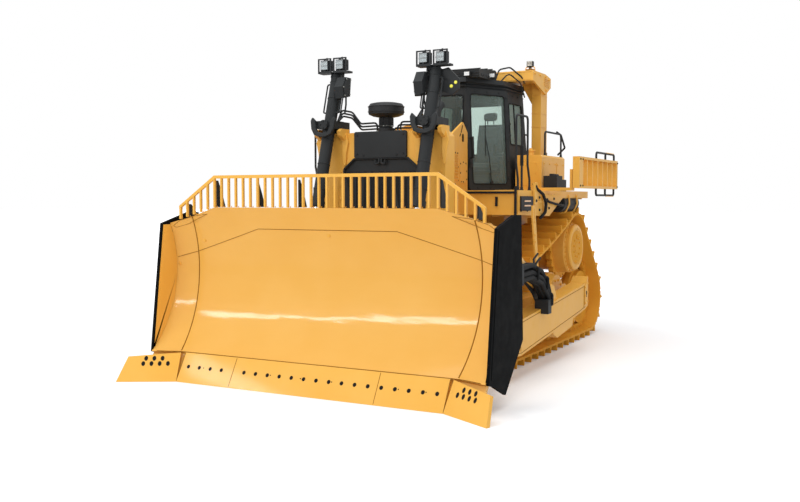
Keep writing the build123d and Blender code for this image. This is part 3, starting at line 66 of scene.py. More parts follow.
def add(tree, kind, inputs=None, **settings):
    """Add a node: settings are its own, and inputs are values or the sockets that feed it."""
    node = tree.nodes.new(kind)
    for name, value in settings.items():
        setattr(node, name, value)
    feed(tree, node, inputs or {})
    return node


def new_finish(name):
    """An empty material with its shader and the place on the piece that patterns read."""
    material = bpy.data.materials.new(name)
    material.use_nodes = True
    tree = material.node_tree
    return material, tree, tree.nodes["Principled BSDF"], add(tree, "ShaderNodeTexCoord").outputs["Object"]


# %% [markdown]
# Gloss enamel over steel plate is what most of the machine wears. Sprayed paint isn't flat: it has
# a faint orange peel about 8 mm across, its colour drifts a little over metres, and a thin film of
# dust dulls it in patches. The peel is drawn a little coarser than real so that it can be seen, and
# the blade's rolled face also keeps long, shallow waves from the rolls, which break its highlights.
# %% Enamels
COAT_ROUGHNESS = 0.08


def enamel(name, colour, drift, roughness, shine, coat, peel_mm, peel_depth_mm, dust, wave_mm=0.0):
    material, tree, shader, place = new_finish(name)
    cloud = add(tree, "ShaderNodeTexNoise", {"Vector": place, "Scale": 1.3, "Detail": 3.0})
    tint = add(tree, "ShaderNodeValToRGB", {"Fac": cloud.outputs["Fac"]})
    for stop, at, code in zip(tint.color_ramp.elements, (0.3, 0.7), (drift, colour)):
        stop.position, stop.color = at, linear(code)
    film = add(tree, "ShaderNodeTexNoise", {"Vector": place, "Scale": 6.0, "Detail": 5.0, "Roughness": 0.6})
    dull = add(tree, "ShaderNodeMapRange", {
        "Value": film.outputs["Fac"], "From Min": 0.35, "From Max": 0.75,
        "To Min": roughness, "To Max": roughness + dust})
    peel = add(tree, "ShaderNodeTexNoise", {"Vector": place, "Scale": 1000 / peel_mm, "Detail": 2.0})
    bump = add(tree, "ShaderNodeBump", {
        "Height": peel.outputs["Fac"], "Distance": peel_depth_mm / 1000, "Strength": 0.5})
    if wave_mm:
        along = add(tree, "ShaderNodeMapping", {"Vector": place, "Scale": (0.28, 1.0, 1.0)})
        sag = add(tree, "ShaderNodeTexNoise", {
            "Vector": along.outputs["Vector"], "Scale": 3.2, "Detail": 2.5})
        bump = add(tree, "ShaderNodeBump", {
            "Height": sag.outputs["Fac"], "Distance": wave_mm / 1000, "Strength": 1.0,
            "Normal": bump.outputs["Normal"]})
        feed(tree, shader, {"Coat Normal": bump.outputs["Normal"]})
    feed(tree, shader, {
        "Base Color": tint.outputs["Color"], "Roughness": dull.outputs["Result"],
        "Normal": bump.outputs["Normal"], "Coat Weight": coat, "Coat Roughness": COAT_ROUGHNESS,
        "Specular IOR Level": shine})
    return material


yellow_enamel = enamel("yellow_gloss_enamel", "#E7B052", "#E3AA47", 0.36, 0.10, 0.15, 14, 0.25, 0.12)
track_enamel = enamel("yellow_track_enamel", "#E2A43C", "#D89830", 0.5, 0.05, 0.03, 9, 0.8, 0.2)
rolled_enamel = enamel(
    "yellow_rolled_plate_enamel", "#E4AE54", "#E1A94C", 0.34, 0.10, 0.32, 14, 0.25, 0.12, wave_mm=9)
# Two copies of one black paint: the satin copy's grey base is partly painted sheen, and the matt copy's
# near-black colour is painted shade on the end plates.
black_enamel_painted_sheen = enamel("black_satin_enamel_painted_sheen", "#2A2C2D", "#2F3132", 0.42, 0.12, 0.0, 10, 0.3, 0.14)
matt_black_painted_shade = enamel("black_matt_enamel_painted_shade", "#08090A", "#0C0D0E", 0.6, 0.04, 0.0, 10, 0.3, 0.14)
cast_enamel = enamel("engine_casting_enamel", "#6E6A5C", "#5C584C", 0.6, 0.25, 0.0, 5, 1.4, 0.15)
# Dark amber for weld beads and joint lines: painted shade along welds, seams and joints.
weld_shade_line = enamel("weld_shadow_enamel", "#9A6A22", "#87591A", 0.6, 0.1, 0.0, 12, 0.5, 0.1)
print("enamels", len(bpy.data.materials))


# %% [markdown]
# Moulded plastic has a fine spark-eroded texture and no gloss coat. Rubber is darker and duller.
# The near-black finish is painted shade in bolt sockets, slots and holes, and is also the dark
# colour of the dash's screens. All come from one recipe: grain size, grain depth and dullness.
# %% Plastics, rubber and cloth
def moulded(name, colour, roughness, grain_mm, grain_depth_mm):
    material, tree, shader, place = new_finish(name)
    grain = add(tree, "ShaderNodeTexVoronoi", {"Vector": place, "Scale": 1000 / grain_mm})
    bump = add(tree, "ShaderNodeBump", {
        "Height": grain.outputs["Distance"], "Distance": grain_depth_mm / 1000, "Strength": 0.6})
    feed(tree, shader, {
        "Base Color": linear(colour), "Roughness": roughness, "Specular IOR Level": 0.25,
        "Normal": bump.outputs["Normal"]})
    return material


black_plastic = moulded("moulded_polypropylene", "#232425", 0.55, 5, 0.3)
black_rubber = moulded("nitrile_rubber", "#161718", 0.75, 8, 0.3)
grey_plastic = moulded("grey_abs", "#4A4D50", 0.5, 5, 0.3)
# Near black: painted shade in bolt sockets, slots and holes, and the dash screens' own dark colour.
near_black_and_hole_shade = moulded("near_black_and_painted_hole_shade", "#060606", 0.8, 6, 0.5)


def seat_weave():
    """Woven polyester: threads about 3 mm apart, drawn at 6 mm so that they show."""
    material, tree, shader, place = new_finish("woven_polyester")
    rows = []
    for turn in ((0, 0, 0), (0, math.pi / 2, 0)):
        spot = add(tree, "ShaderNodeMapping", {"Vector": place, "Rotation": turn})
        wave = {"Vector": spot.outputs["Vector"], "Scale": 26.0, "Distortion": 0.4}
        rows.append(add(tree, "ShaderNodeTexWave", wave).outputs["Fac"])
    both = add(tree, "ShaderNodeMath", {0: rows[0], 1: rows[1]}, operation="MULTIPLY")
    bump = add(tree, "ShaderNodeBump", {
        "Height": both.outputs["Value"], "Distance": 0.0012, "Strength": 0.7})
    feed(tree, shader, {
        "Base Color": linear("#5C5F63"), "Roughness": 0.9, "Sheen Weight": 0.3,
        "Normal": bump.outputs["Normal"]})
    return material


seat_cloth = seat_weave()
print("with plastics and cloth", len(bpy.data.materials))


# %% [markdown]
# Bare metals: the cylinders' rods are ground and hard chromed, so they are nearly a mirror with
# faint rings. Fasteners are zinc plated. Steel keeps the shader's usual IOR.
# %% Metals
def bare_metal(name, colour, roughness, streak_mm):
    material, tree, shader, place = new_finish(name)
    streak = add(tree, "ShaderNodeTexNoise", {"Vector": place, "Scale": 1000 / streak_mm, "Detail": 4.0})
    rub = add(tree, "ShaderNodeMapRange", {
        "Value": streak.outputs["Fac"], "To Min": roughness * 0.8, "To Max": roughness * 1.5})
    feed(tree, shader, {
        "Base Color": linear(colour), "Metallic": 1.0, "Roughness": rub.outputs["Result"]})
    return material


rod_chrome = bare_metal("hard_chrome", "#C9CBCE", 0.12, 40)
zinc_steel = bare_metal("zinc_plated_steel", "#9B9C98", 0.35, 12)
print("with metals", len(bpy.data.materials))


# %% [markdown]
# Safety glass has a pale green tint. A thin pane is shown as a mix of a clear sheet and a gloss
# that grows towards grazing angles, so the cab's inside stays visible. The gloss layer's pale base
# colour is partly that tint and partly lightens the pane as a painted reflection.
# %% Glass
def pane_glass(name, colour, tint, roughness, clear):
    material, tree, shader, place = new_finish(name)
    tree.nodes.remove(shader)
    smear = add(tree, "ShaderNodeTexNoise", {"Vector": place, "Scale": 3.0, "Detail": 3.0})
    wipe = add(tree, "ShaderNodeMapRange", {
        "Value": smear.outputs["Fac"], "To Min": roughness, "To Max": roughness + 0.06})
    gloss = add(tree, "ShaderNodeBsdfPrincipled", {
        "Base Color": linear(colour), "Roughness": wipe.outputs["Result"], "IOR": 1.52,
        "Specular IOR Level": 0.6})
    see = add(tree, "ShaderNodeBsdfTransparent", {"Color": linear(tint)})
    edge = add(tree, "ShaderNodeFresnel", {"IOR": 1.45})
    share = add(tree, "ShaderNodeMapRange", {
        "Value": edge.outputs["Fac"], "To Min": 1 - clear, "To Max": 1.0})
    both = add(tree, "ShaderNodeMixShader", {
        0: share.outputs["Result"], 1: see.outputs["BSDF"], 2: gloss.outputs["BSDF"]})
    feed(tree, tree.nodes["Material Output"], {"Surface": both.outputs["Shader"]})
    return material


# The pale base colours of the gloss layers lighten the panes: a painted reflection.
cab_glass = pane_glass("green_safety_glass", "#B8C4BE", "#F5FCF9", 0.03, 0.95)
lens_glass = pane_glass("clear_lens", "#D5DADB", "#F4F8F8", 0.06, 0.7)


def glowing(name, colour, light, strength):
    """A translucent plastic lens that looks lit from inside."""
    material, tree, shader, place = new_finish(name)
    ribs = add(tree, "ShaderNodeTexWave", {"Vector": place, "Scale": 30.0})
    bump = add(tree, "ShaderNodeBump", {"Height": ribs.outputs["Fac"], "Distance": 0.001})
    feed(tree, shader, {
        "Base Color": linear(colour), "Roughness": 0.2, "Emission Color": linear(light),
        "Emission Strength": strength, "Normal": bump.outputs["Normal"]})
    return material


amber_lens = glowing("amber_lens", "#C9A27A", "#E2B48A", 0.2)
frosted_lens = glowing("frosted_lens", "#C4C0B4", "#DCD8CC", 0.15)
marker_lens = glowing("marker_lens", "#D6D04A", "#E6E05A", 0.35)
led_cover = glowing("led_cover", "#CFD3D3", "#FFFFFF", 0.12)
print("all finishes", len(bpy.data.materials))

# %% [markdown]
# The steel keeps its shape and only gets its finish: the blade, arms, hood and tanks are yellow,
# the cab, guard inserts and cylinders black, as such machines leave the works.
# %% Paint the steel
coats = {
    "yellow_paint": yellow_enamel, "black_paint": black_enamel_painted_sheen, "cast_block": cast_enamel,
    "black_plastic": black_plastic, "seat_cloth": seat_cloth, "rod_chrome": rod_chrome,
    "cab_glass": cab_glass,
}
# The end plates take the darker black copy, painted shade.
own_coat = {"moldboard": rolled_enamel, "end_plates": matt_black_painted_shade}
running_gear = ("track", "idlers", "rollers", "sprockets")
for part in frame["record"]["subparts"]:
    node = part["node"]
    coat = track_enamel if node.endswith(running_gear) else own_coat.get(node, coats[part["material_slot"]])
    steel[node].data.materials.clear()
    steel[node].data.materials.append(coat)
print("painted", len(steel), "nodes")


# %% [markdown]
# Small parts are drawn into a bmesh and then become one object for each body and finish. The
# object stays at the origin and its place is in its mesh, as the steel's is. Edges sharper than
# 35 degrees stay crisp, and softer ones are smoothed, which is how rolled and cast forms look.
# %% Helpers that make objects
CRISP_ANGLE = math.radians(35)


def put(name, data):
    """A new object in the scene."""
    made = bpy.data.objects.new(name, data)
    bpy.context.scene.collection.objects.link(made)
    return made


def mesh_of(name, bm):
    """A drawn form as a mesh, with its faces turned outwards."""
    bmesh.ops.recalc_face_normals(bm, faces=bm.faces)
    mesh = bpy.data.meshes.new(name)
    bm.to_mesh(mesh)
    bm.free()
    return mesh


def baked(piece):
    """The plain mesh that a piece has once its modifiers have run."""
    graph = bpy.context.evaluated_depsgraph_get()
    return bpy.data.meshes.new_from_object(piece.evaluated_get(graph))


def finish_piece(name, mesh, body, finish, soften=0.0):
    """Put a mesh in the scene, riding on a body; a mesh that a tree painted comes without a finish."""
    if isinstance(mesh, bmesh.types.BMesh):
        mesh = mesh_of(name, mesh)
    piece = put(name, mesh)
    if finish is not None:
        mesh.materials.clear()
        mesh.materials.append(finish)
    if soften:
        bevel = piece.modifiers.new("edges", "BEVEL")
        bevel.width, bevel.segments, bevel.limit_method = soften, 2, "ANGLE"
    mesh.polygons.foreach_set("use_smooth", [True] * len(mesh.polygons))
    mesh.set_sharp_from_angle(angle=CRISP_ANGLE)
    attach(piece, body)
    print(name, "on", body, len(mesh.polygons), "faces")
    return piece


# %% [markdown]
# Four forms make almost everything: a block between two corners, a round bar, a flat plate from
# its corners and a bent tube. Their points come from flat drawings in a plane of constant x or y,
# or are drawn once for the left side and flipped.
# %% Helpers for shapes
def block(bm, low, high):
    """A block between two corners."""
    low, high = Vector(low), Vector(high)
    size = Matrix.Diagonal((*[abs(v) for v in high - low], 1))
    bmesh.ops.create_cube(bm, size=1, matrix=Matrix.Translation((low + high) / 2) @ size)


def rod(bm, start, end, radius, sides=24, tip=None):
    """A round bar, or a cone where the tip has another radius."""
    start, end = Vector(start), Vector(end)
    turn = (end - start).to_track_quat("Z", "Y").to_matrix().to_4x4()
    bmesh.ops.create_cone(
        bm, cap_ends=True, segments=sides, radius1=radius, radius2=radius if tip is None else tip,
        depth=(end - start).length, matrix=Matrix.Translation((start + end) / 2) @ turn)


def join_rings(bm, rings):
    """Faces between closed rings of points, one after the other."""
    for a, b in zip(rings, rings[1:]):
        for s in range(len(a)):
            n = (s + 1) % len(a)
            bm.faces.new((a[s], a[n], b[n], b[s]))


def plate(bm, corners, push):
    """A flat plate from its corners in order, thickened along a vector."""
    push = Vector(push)
    near = [bm.verts.new(Vector(c)) for c in corners]
    far = [bm.verts.new(Vector(c) + push) for c in corners]
    bm.faces.new(near[::-1])
    bm.faces.new(far)
    join_rings(bm, (near, far))


def bent_line(points, bend, steps=6):
    """Points along straight runs joined by curves of about one bend radius."""
    points = [Vector(p) for p in points]
    line = [points[0]]
    for before, corner, after in zip(points, points[1:], points[2:]):
        a, b = (before - corner).normalized(), (after - corner).normalized()
        half = a.angle(b) / 2
        if half > math.radians(89):
            line.append(corner)
            continue
        reach = min(bend / math.tan(half), (before - corner).length * 0.49, (after - corner).length * 0.49)
        for k in range(steps + 1):
            t = k / steps
            line.append(corner + a * (reach * (1 - t) ** 2) + b * (reach * t ** 2))
    line.append(points[-1])
    return line


def tube(bm, points, radius, bend=0.05, sides=12):
    """A bent tube with closed ends."""
    line = bent_line(points, bend)
    across = (line[1] - line[0]).orthogonal().normalized()
    rings = []
    for k, point in enumerate(line):
        along = (line[min(k + 1, len(line) - 1)] - line[max(k - 1, 0)]).normalized()
        across = (across - along * across.dot(along)).normalized()
        other = along.cross(across)
        rings.append([
            bm.verts.new(point + across * (radius * math.cos(2 * math.pi * s / sides))
                         + other * (radius * math.sin(2 * math.pi * s / sides)))
            for s in range(sides)])
    join_rings(bm, rings)
    bm.faces.new(rings[0][::-1])
    bm.faces.new(rings[-1])


def at_x(x, pairs):
    """Points in an upright plane along the machine, from pairs of y and z."""
    return [(x, y, z) for y, z in pairs]


def at_y(y, pairs):
    """Points in an upright plane across the machine, from pairs of x and z."""
    return [(x, y, z) for x, z in pairs]


def flip(sign, points):
    """Points drawn for the left side, on the side that the sign tells."""
    return [(sign * x, y, z) for x, y, z in points]


def grid(xs, ys, zs):
    """Every point at these x, y and z, each of them a number or several."""
    xs, ys, zs = [v if isinstance(v, tuple) else (v,) for v in (xs, ys, zs)]
    return [(x, y, z) for x in xs for y in ys for z in zs]


def circle(x, y, z, radius, count):
    """A closed level circle."""
    turns = [2 * math.pi * k / count for k in range(count + 1)]
    return [(x + radius * math.cos(a), y + radius * math.sin(a), z) for a in turns]


# %% [markdown]
# Bolts repeat by the hundred, so Geometry Nodes set them out. The tree takes bare points that know
# which way they face, and puts a washer and a chamfered hexagon head on each one, turned at random
# with a fixed seed as hand-tightened bolts are. Its sizes are named inputs.
# %% A tree that sets out bolts
def new_tree(name, inputs, result):
    """A tree with named inputs and one geometry that it hands out, and its input sockets."""
    tree = bpy.data.node_groups.new(name, "GeometryNodeTree")
    for label, kind in inputs:
        tree.interface.new_socket(label, in_out="INPUT", socket_type="NodeSocket" + kind)
    tree.interface.new_socket(result, in_out="OUTPUT", socket_type="NodeSocketGeometry")
    return tree, add(tree, "NodeGroupInput").outputs


def hand_out(tree, copies, finish, result):
    """Make a tree's copies real, paint them and hand them out."""
    real = add(tree, "GeometryNodeRealizeInstances", {"Geometry": copies.outputs["Instances"]})
    painted = add(tree, "GeometryNodeSetMaterial", {
        "Geometry": real.outputs["Geometry"], "Material": finish})
    add(tree, "NodeGroupOutput", {result: painted.outputs["Geometry"]})
    return tree


def bolt_tree():
    sizes = [(size, "Float") for size in ("Head radius", "Head height", "Washer radius", "Washer height")]
    tree, given = new_tree(
        "bolt_heads", [("Places", "Geometry"), *sizes, ("Seed", "Int"), ("Finish", "Material")], "Bolts")
    washer = add(tree, "GeometryNodeMeshCylinder", {
        "Vertices": 16, "Radius": given["Washer radius"], "Depth": given["Washer height"]})
    head = add(tree, "GeometryNodeMeshCylinder", {
        "Vertices": 6, "Radius": given["Head radius"], "Depth": given["Head height"]})
    top = add(tree, "ShaderNodeMath", {0: given["Head height"], 1: 0.18}, operation="MULTIPLY")
    rim = add(tree, "ShaderNodeMath", {0: given["Head radius"], 1: 0.84}, operation="MULTIPLY")
    crown = add(tree, "GeometryNodeMeshCone", {
        "Vertices": 6, "Radius Top": rim.outputs["Value"], "Radius Bottom": given["Head radius"],
        "Depth": top.outputs["Value"]})
    lift = add(tree, "ShaderNodeMath", {0: given["Head height"], 1: 0.5}, operation="MULTIPLY")
    lifted = add(tree, "ShaderNodeCombineXYZ", {"Z": lift.outputs["Value"]})
    seat = add(tree, "ShaderNodeCombineXYZ", {"Z": given["Head height"]})
    raised = add(tree, "GeometryNodeTransform", {
        "Geometry": head.outputs["Mesh"], "Translation": lifted.outputs["Vector"]})
    capped = add(tree, "GeometryNodeTransform", {
        "Geometry": crown.outputs["Mesh"], "Translation": seat.outputs["Vector"]})
    bolt = add(tree, "GeometryNodeJoinGeometry")
    for part in (washer.outputs["Mesh"], raised.outputs["Geometry"], capped.outputs["Geometry"]):
        feed(tree, bolt, {"Geometry": part})
    facing = add(tree, "GeometryNodeInputNamedAttribute", {"Name": "facing"}, data_type="FLOAT_VECTOR")
    turned = add(tree, "FunctionNodeAlignRotationToVector", {
        "Vector": facing.outputs["Attribute"]}, axis="Z")
    spin = add(tree, "FunctionNodeRandomValue", {"Max": 6.28, "Seed": given["Seed"]}, data_type="FLOAT")
    about = add(tree, "FunctionNodeAxisAngleToRotation", {"Angle": spin.outputs["Value"]})
    both = add(tree, "FunctionNodeRotateRotation", {
        "Rotation": turned.outputs["Rotation"], "Rotate By": about.outputs["Rotation"]},
        rotation_space="LOCAL")
    copies = add(tree, "GeometryNodeInstanceOnPoints", {
        "Points": given["Places"], "Instance": bolt.outputs["Geometry"],
        "Rotation": both.outputs["Rotation"]})
    return hand_out(tree, copies, given["Finish"], "Bolts")


bolt_heads = bolt_tree()
print("tree", bolt_heads.name)


# %% [markdown]
# A tree runs on bare points that carry one vector each, which is the way a bolt faces or the turn
# of a repeated unit. Its result becomes a plain mesh, so nothing depends on the tree afterwards.
# %% Helpers that set bolts out
def make_real(places, attribute, tree, values):
    """Run a tree on places, which are pairs of a point and a vector, and return its mesh."""
    mesh = bpy.data.meshes.new("places")
    mesh.from_pydata([tuple(at) for at, way in places], [], [])
    carried = mesh.attributes.new(attribute, "FLOAT_VECTOR", "POINT")
    carried.data.foreach_set("vector", [v for at, way in places for v in way])
    piece = put("places", mesh)
    sockets = {
        item.name: item.identifier for item in tree.interface.items_tree
        if item.item_type == "SOCKET" and item.in_out == "INPUT"}
    run = piece.modifiers.new("run", "NODES")
    run.node_group = tree
    for name, value in values.items():
        run[sockets[name]] = value
    mesh = baked(piece)
    bpy.data.objects.remove(piece)
    return mesh


def bolts(name, body, finish, places, radius, height=None, seed=1):
    """Bolt heads at places, which are pairs of a point and the way it faces."""
    height = height or radius * 0.75
    places = [(at, Vector(way).normalized()) for at, way in places]
    mesh = make_real(places, "facing", bolt_heads, {
        "Head radius": radius, "Head height": height, "Washer radius": radius * 1.35,
        "Washer height": height * 0.3, "Seed": seed, "Finish": finish})
    mesh.name = name
    return finish_piece(name, mesh, body, None)


def face_way(way, points):
    """Bolts' places at points that all face one way."""
    return [(point, way) for point in points]


def ring(centre, axis, radius, count, start=0.0):
    """Places round a circle, facing along its axis."""
    axis = Vector(axis).normalized()
    across = axis.orthogonal().normalized()
    other = axis.cross(across)
    return [(
        Vector(centre) + across * (radius * math.cos(start + 2 * math.pi * k / count))
        + other * (radius * math.sin(start + 2 * math.pi * k / count)), axis) for k in range(count)]


# %% [markdown]
# The stage is a plain white floor and a soft, even light. The floor adds some brightness of
# its own for the camera alone, more with distance, so it reads white and keeps the shadow.
# %% Camera and floor
camera = put("camera", bpy.data.cameras.new("camera"))
camera.location = (6.686, -13.592, 2.558)
camera.rotation_euler = (math.radians(90 - 3.27), 0, math.radians(27.93))
camera.data.lens, camera.data.sensor_width, camera.data.clip_end = 41.506, 36, 500
bpy.context.scene.camera = camera
bpy.context.scene.view_settings.view_transform = "Standard"

FLOOR_SIZE, FLOOR_DROP = 160, -0.002
corners = [(x * FLOOR_SIZE, y * FLOOR_SIZE, FLOOR_DROP) for x, y in ((-1, -1), (1, -1), (1, 1), (-1, 1))]
floor_mesh = bpy.data.meshes.new("floor")
floor_mesh.from_pydata(corners, [], [(0, 1, 2, 3)])
floor = put("floor", floor_mesh)
floor_paint, tree, shader, place = new_finish("cove_paint")
rays = add(tree, "ShaderNodeLightPath")
away = add(tree, "ShaderNodeVectorMath", {0: place}, operation="LENGTH")
fade = add(tree, "ShaderNodeMapRange", {
    "Value": away.outputs["Value"], "From Min": 5.0, "From Max": 16.0, "To Min": 0.12, "To Max": 1.0})
seen = add(tree, "ShaderNodeMath", {
    0: rays.outputs["Is Camera Ray"], 1: fade.outputs["Result"]}, operation="MULTIPLY")
feed(tree, shader, {
    "Base Color": linear("#F4F4F4"), "Roughness": 0.9, "Specular IOR Level": 0.0,
    "Emission Color": (1, 1, 1, 1), "Emission Strength": seen.outputs["Value"]})
floor_mesh.materials.append(floor_paint)
print("floor", FLOOR_SIZE * 2, "m wide")

# %% [markdown]
# The world is a bright wall to the camera, to reflections and through glass, and a dimmer, bluer
# sky to everything else. Three soft lamps shape the machine: one overhead, one that fills its
# front, and a long strip that draws the highlight across the blade.
# %% World and lamps
world = bpy.data.worlds.new("cove")
bpy.context.scene.world = world
world.use_nodes = True
tree = world.node_tree
tree.nodes.clear()
rays = add(tree, "ShaderNodeLightPath").outputs
first = add(tree, "ShaderNodeMath", {0: rays["Is Camera Ray"], 1: rays["Is Glossy Ray"]},
    operation="MAXIMUM")
direct = add(tree, "ShaderNodeMath", {
    0: first.outputs["Value"], 1: rays["Is Transmission Ray"]}, operation="MAXIMUM")
sky = add(tree, "ShaderNodeBackground", {"Color": linear("#F2F5FA"), "Strength": 0.62})
wall = add(tree, "ShaderNodeBackground", {"Color": (1, 1, 1, 1), "Strength": 1.0})
choice = add(tree, "ShaderNodeMixShader", {
    0: direct.outputs["Value"], 1: sky.outputs["Background"], 2: wall.outputs["Background"]})
add(tree, "ShaderNodeOutputWorld", {"Surface": choice.outputs["Shader"]})

SOFTBOXES = (
    ("overhead", (1, -2, 14), (0, 0, 0), (14, 14), 1500),
    ("front_fill", (10, -16, 7), (0, -1, 1.5), (8, 6), 430),
    ("strip", (-6.5, -14, 8.3), (-0.5, -3.1, 1.1), (11, 0.6), 640),
)
for name, at, aim, size, watts in SOFTBOXES:
    lamp = bpy.data.lights.new(name, "AREA")
    lamp.shape, lamp.size, lamp.size_y, lamp.energy = "RECTANGLE", size[0], size[1], watts
    held = put(name, lamp)
    held.location = at
    held.rotation_euler = (Vector(aim) - Vector(at)).to_track_quat("-Z", "Y").to_euler()
    print(name, watts, "W")

# %% [markdown]
# The blade's face is one rolled plate with two angled wings, welded to a heavier top. The welds are
# ground almost flush and show as thin darker lines: each is a bead whose dark amber is painted shade
# along the weld. It follows the curve of the face: its points are worked out from the same radius
# that the plate was rolled to.
# %% Blade welds
FACE_RADIUS, DEEP_Y, DEEP_Z = 1.569, -3.030, 1.560
WING_X, WING_TURN = 2.250, math.radians(19.4)


def on_face(x, z, proud=0.0):
    """A point on the blade's face, at the middle or on a wing."""
    deep = math.sqrt(FACE_RADIUS**2 - (z - DEEP_Z)**2) - FACE_RADIUS - proud
    if abs(x) <= WING_X + deep * math.tan(WING_TURN / 2):
        return Vector((x, DEEP_Y + deep, z))
    out = (abs(x) - WING_X - deep * math.sin(WING_TURN)) / math.cos(WING_TURN)
    return Vector((x, DEEP_Y + deep * math.cos(WING_TURN) - out * math.sin(WING_TURN), z))


def mitre_x(z):
    """How far out the wing begins at a height."""
    deep = math.sqrt(FACE_RADIUS**2 - (z - DEEP_Z)**2) - FACE_RADIUS
    return WING_X + deep * math.tan(WING_TURN / 2)


def face_top(x):
    """Height of the blade's top edge."""
    return 2.430 - max(0, abs(x) - 1.740) * 0.277


WELD = 0.006
bm = bmesh.new()
for sign in (1, -1):
    heights = [0.40 + k * 0.095 for k in range(21)]
    seam = [on_face(sign * (mitre_x(z) - 0.004), z, 0.001) for z in heights]
    tube(bm, seam, WELD * 1.3, bend=0.01, sides=6)
upper = [(-2.55, 1.70), (-2.25, 1.785), (-1.7, 1.95), (-1.1, 2.13)]
upper += [(x, 2.13) for x in (-0.5, 0, 0.5)] + [(-x, z) for x, z in reversed(upper)]
line = []
for (x0, z0), (x1, z1) in zip(upper, upper[1:]):
    for k in range(6):
        line.append(on_face(x0 + (x1 - x0) * k / 6, z0 + (z1 - z0) * k / 6, 0.0005))
tube(bm, line, WELD * 0.8, bend=0.01, sides=6)
tube(bm, [on_face(x / 10, 0.386, 0.001) for x in range(-25, 26)], WELD, bend=0.01, sides=6)
leaf = [(1.92, 2.335), (2.2, 2.30), (2.42, 2.235), (2.535, 2.16), (2.5, 2.135), (2.3, 2.19), (1.92, 2.335)]
for sign in (1, -1):
    tube(bm, [on_face(sign * x, z, 0.0005) for x, z in leaf], WELD * 0.6, bend=0.03, sides=6)
finish_piece("blade_welds", bm, "blade", weld_shade_line)
bm = bmesh.new()
for x, z in ((0.05, 2.06), (2.53, 1.60), (-2.53, 1.60), (-2.1, 1.95)):
    at = on_face(x, z)
    rod(bm, at + Vector((0, 0.01, 0)), at - Vector((0, 0.006, 0)), 0.026, 20)
    rod(bm, at, at - Vector((0, 0.010, 0)), 0.017, 20)
finish_piece("blade_plugs", bm, "blade", yellow_enamel, soften=0.002)

# %% [markdown]
# Cutting edges and end bits wear out, so plough bolts hold them. A plough bolt's square head sits
# down in a countersunk hole, which from a few metres off is a dark dot. Each one here is a shallow
# countersunk ring with its head set down inside it, both near black: painted shade for the hole.
# They are laid along the edge by the bolt pitch.
# %% Plough bolts
EDGE_FOOT_Y, EDGE_TOP_Y, EDGE_TOP_Z = -3.780, -3.565, 0.380
EDGE_SEAMS, EDGE_END_X = (-1.15, 1.1), 2.06
edge_up = Vector((0, EDGE_TOP_Y - EDGE_FOOT_Y, EDGE_TOP_Z)).normalized()
edge_out = Vector((0, -edge_up.z, edge_up.y))


def plough_bolts(bm, centre, out, up, wide, tall):
    """A dark oval socket with its bolt's head inside, both near black as painted shade for the hole."""
    side = up.cross(out).normalized()
    rim, foot, head = [], [], []
    for k in range(20):
        a = 2 * math.pi * k / 20
        way = side * (math.cos(a) * wide) + up * (math.sin(a) * tall)
        rim.append(bm.verts.new(centre + way + out * 0.0015))
        foot.append(bm.verts.new(centre + way * 1.06 - out * 0.004))
        head.append(bm.verts.new(centre + way * 0.62 + out * 0.0004))
    join_rings(bm, (foot, rim, head))
    bm.faces.new(head)
    bm.faces.new(foot[::-1])


bm = bmesh.new()
for k in range(21):
    x = -1.93 + k * 0.193
    if min(abs(x - seam) for seam in EDGE_SEAMS) > 0.035:
        foot = Vector((x, EDGE_FOOT_Y, 0)) + edge_up * 0.235
        plough_bolts(bm, foot, edge_out, edge_up, 0.026, 0.028)
for x in (-1.66, -0.53, -0.05, 0.43, 1.4, 1.78):
    foot = Vector((x, EDGE_FOOT_Y, 0)) + edge_up * 0.238
    plough_bolts(bm, foot, edge_out, edge_up, 0.008, 0.008)
for sign in (1, -1):
    out_way = Vector((sign, -0.5616, 0)).normalized()
    lean = Vector((0, EDGE_TOP_Y - EDGE_FOOT_Y, EDGE_TOP_Z))
    facing = (lean.cross(out_way) * sign).normalized()
    facing = -facing if facing.y > 0 else facing
    up = (facing.cross(out_way) * -sign).normalized()
    up = up if up.z > 0 else -up
    start = Vector((sign * EDGE_END_X, EDGE_FOOT_Y, 0))
    for count, first, high in ((3, 0.30, 0.80), (4, 0.20, 0.62)):
        for k in range(count):
            centre = start + out_way * (first + k * 0.115) + lean * high
            plough_bolts(bm, centre, facing, up, 0.026, 0.035)
finish_piece("plough_bolts", bm, "blade", near_black_and_hole_shade)
# Thin rods in the weld's dark amber mark the joints of the cutting edges: painted shade in the gaps.
bm = bmesh.new()
for x in (*EDGE_SEAMS, -EDGE_END_X, EDGE_END_X):
    low = Vector((x, EDGE_FOOT_Y, 0)) + edge_up * 0.012
    high = Vector((x, EDGE_FOOT_Y, 0)) + edge_up * 0.425
    rod(bm, low, high, 0.004, 8)
finish_piece("edge_joints", bm, "blade", weld_shade_line)

# %% [markdown]
# The rock guard is a fence of flat bars. Behind it a row of black gussets props it from the top of
# the blade, and each bar has a small fillet weld at its foot.
# %% Rock guard gussets
GUARD_BACK_Y = -3.219
bm = bmesh.new()
for sign in (1, -1):
    for x in (0.35, 1.05, 1.75, 2.25):
        foot = face_top(x) + 0.006
        top = 2.84 - max(0, x - 1.75) * 0.67
        drawn = (
            (0, foot), (0.19, foot), (0.12, foot + (top - foot) * 0.45),
            (0.03, top - 0.03), (0, top - 0.03))
        plate(bm, [(sign * x, GUARD_BACK_Y + dy, z) for dy, z in drawn], (sign * 0.02, 0, 0))
finish_piece("guard_gussets", bm, "blade", black_enamel_painted_sheen, soften=0.003)
bm = bmesh.new()
for k in range(-18, 19):
    x = k * 0.125
    low = face_top(x) + 0.004
    for way in (-1, 1):
        rod(bm, (x + way * 0.014, -3.238, low), (x + way * 0.022, -3.238, low + 0.02), 0.008, 8, tip=0.002)
finish_piece("guard_welds", bm, "blade", yellow_enamel)
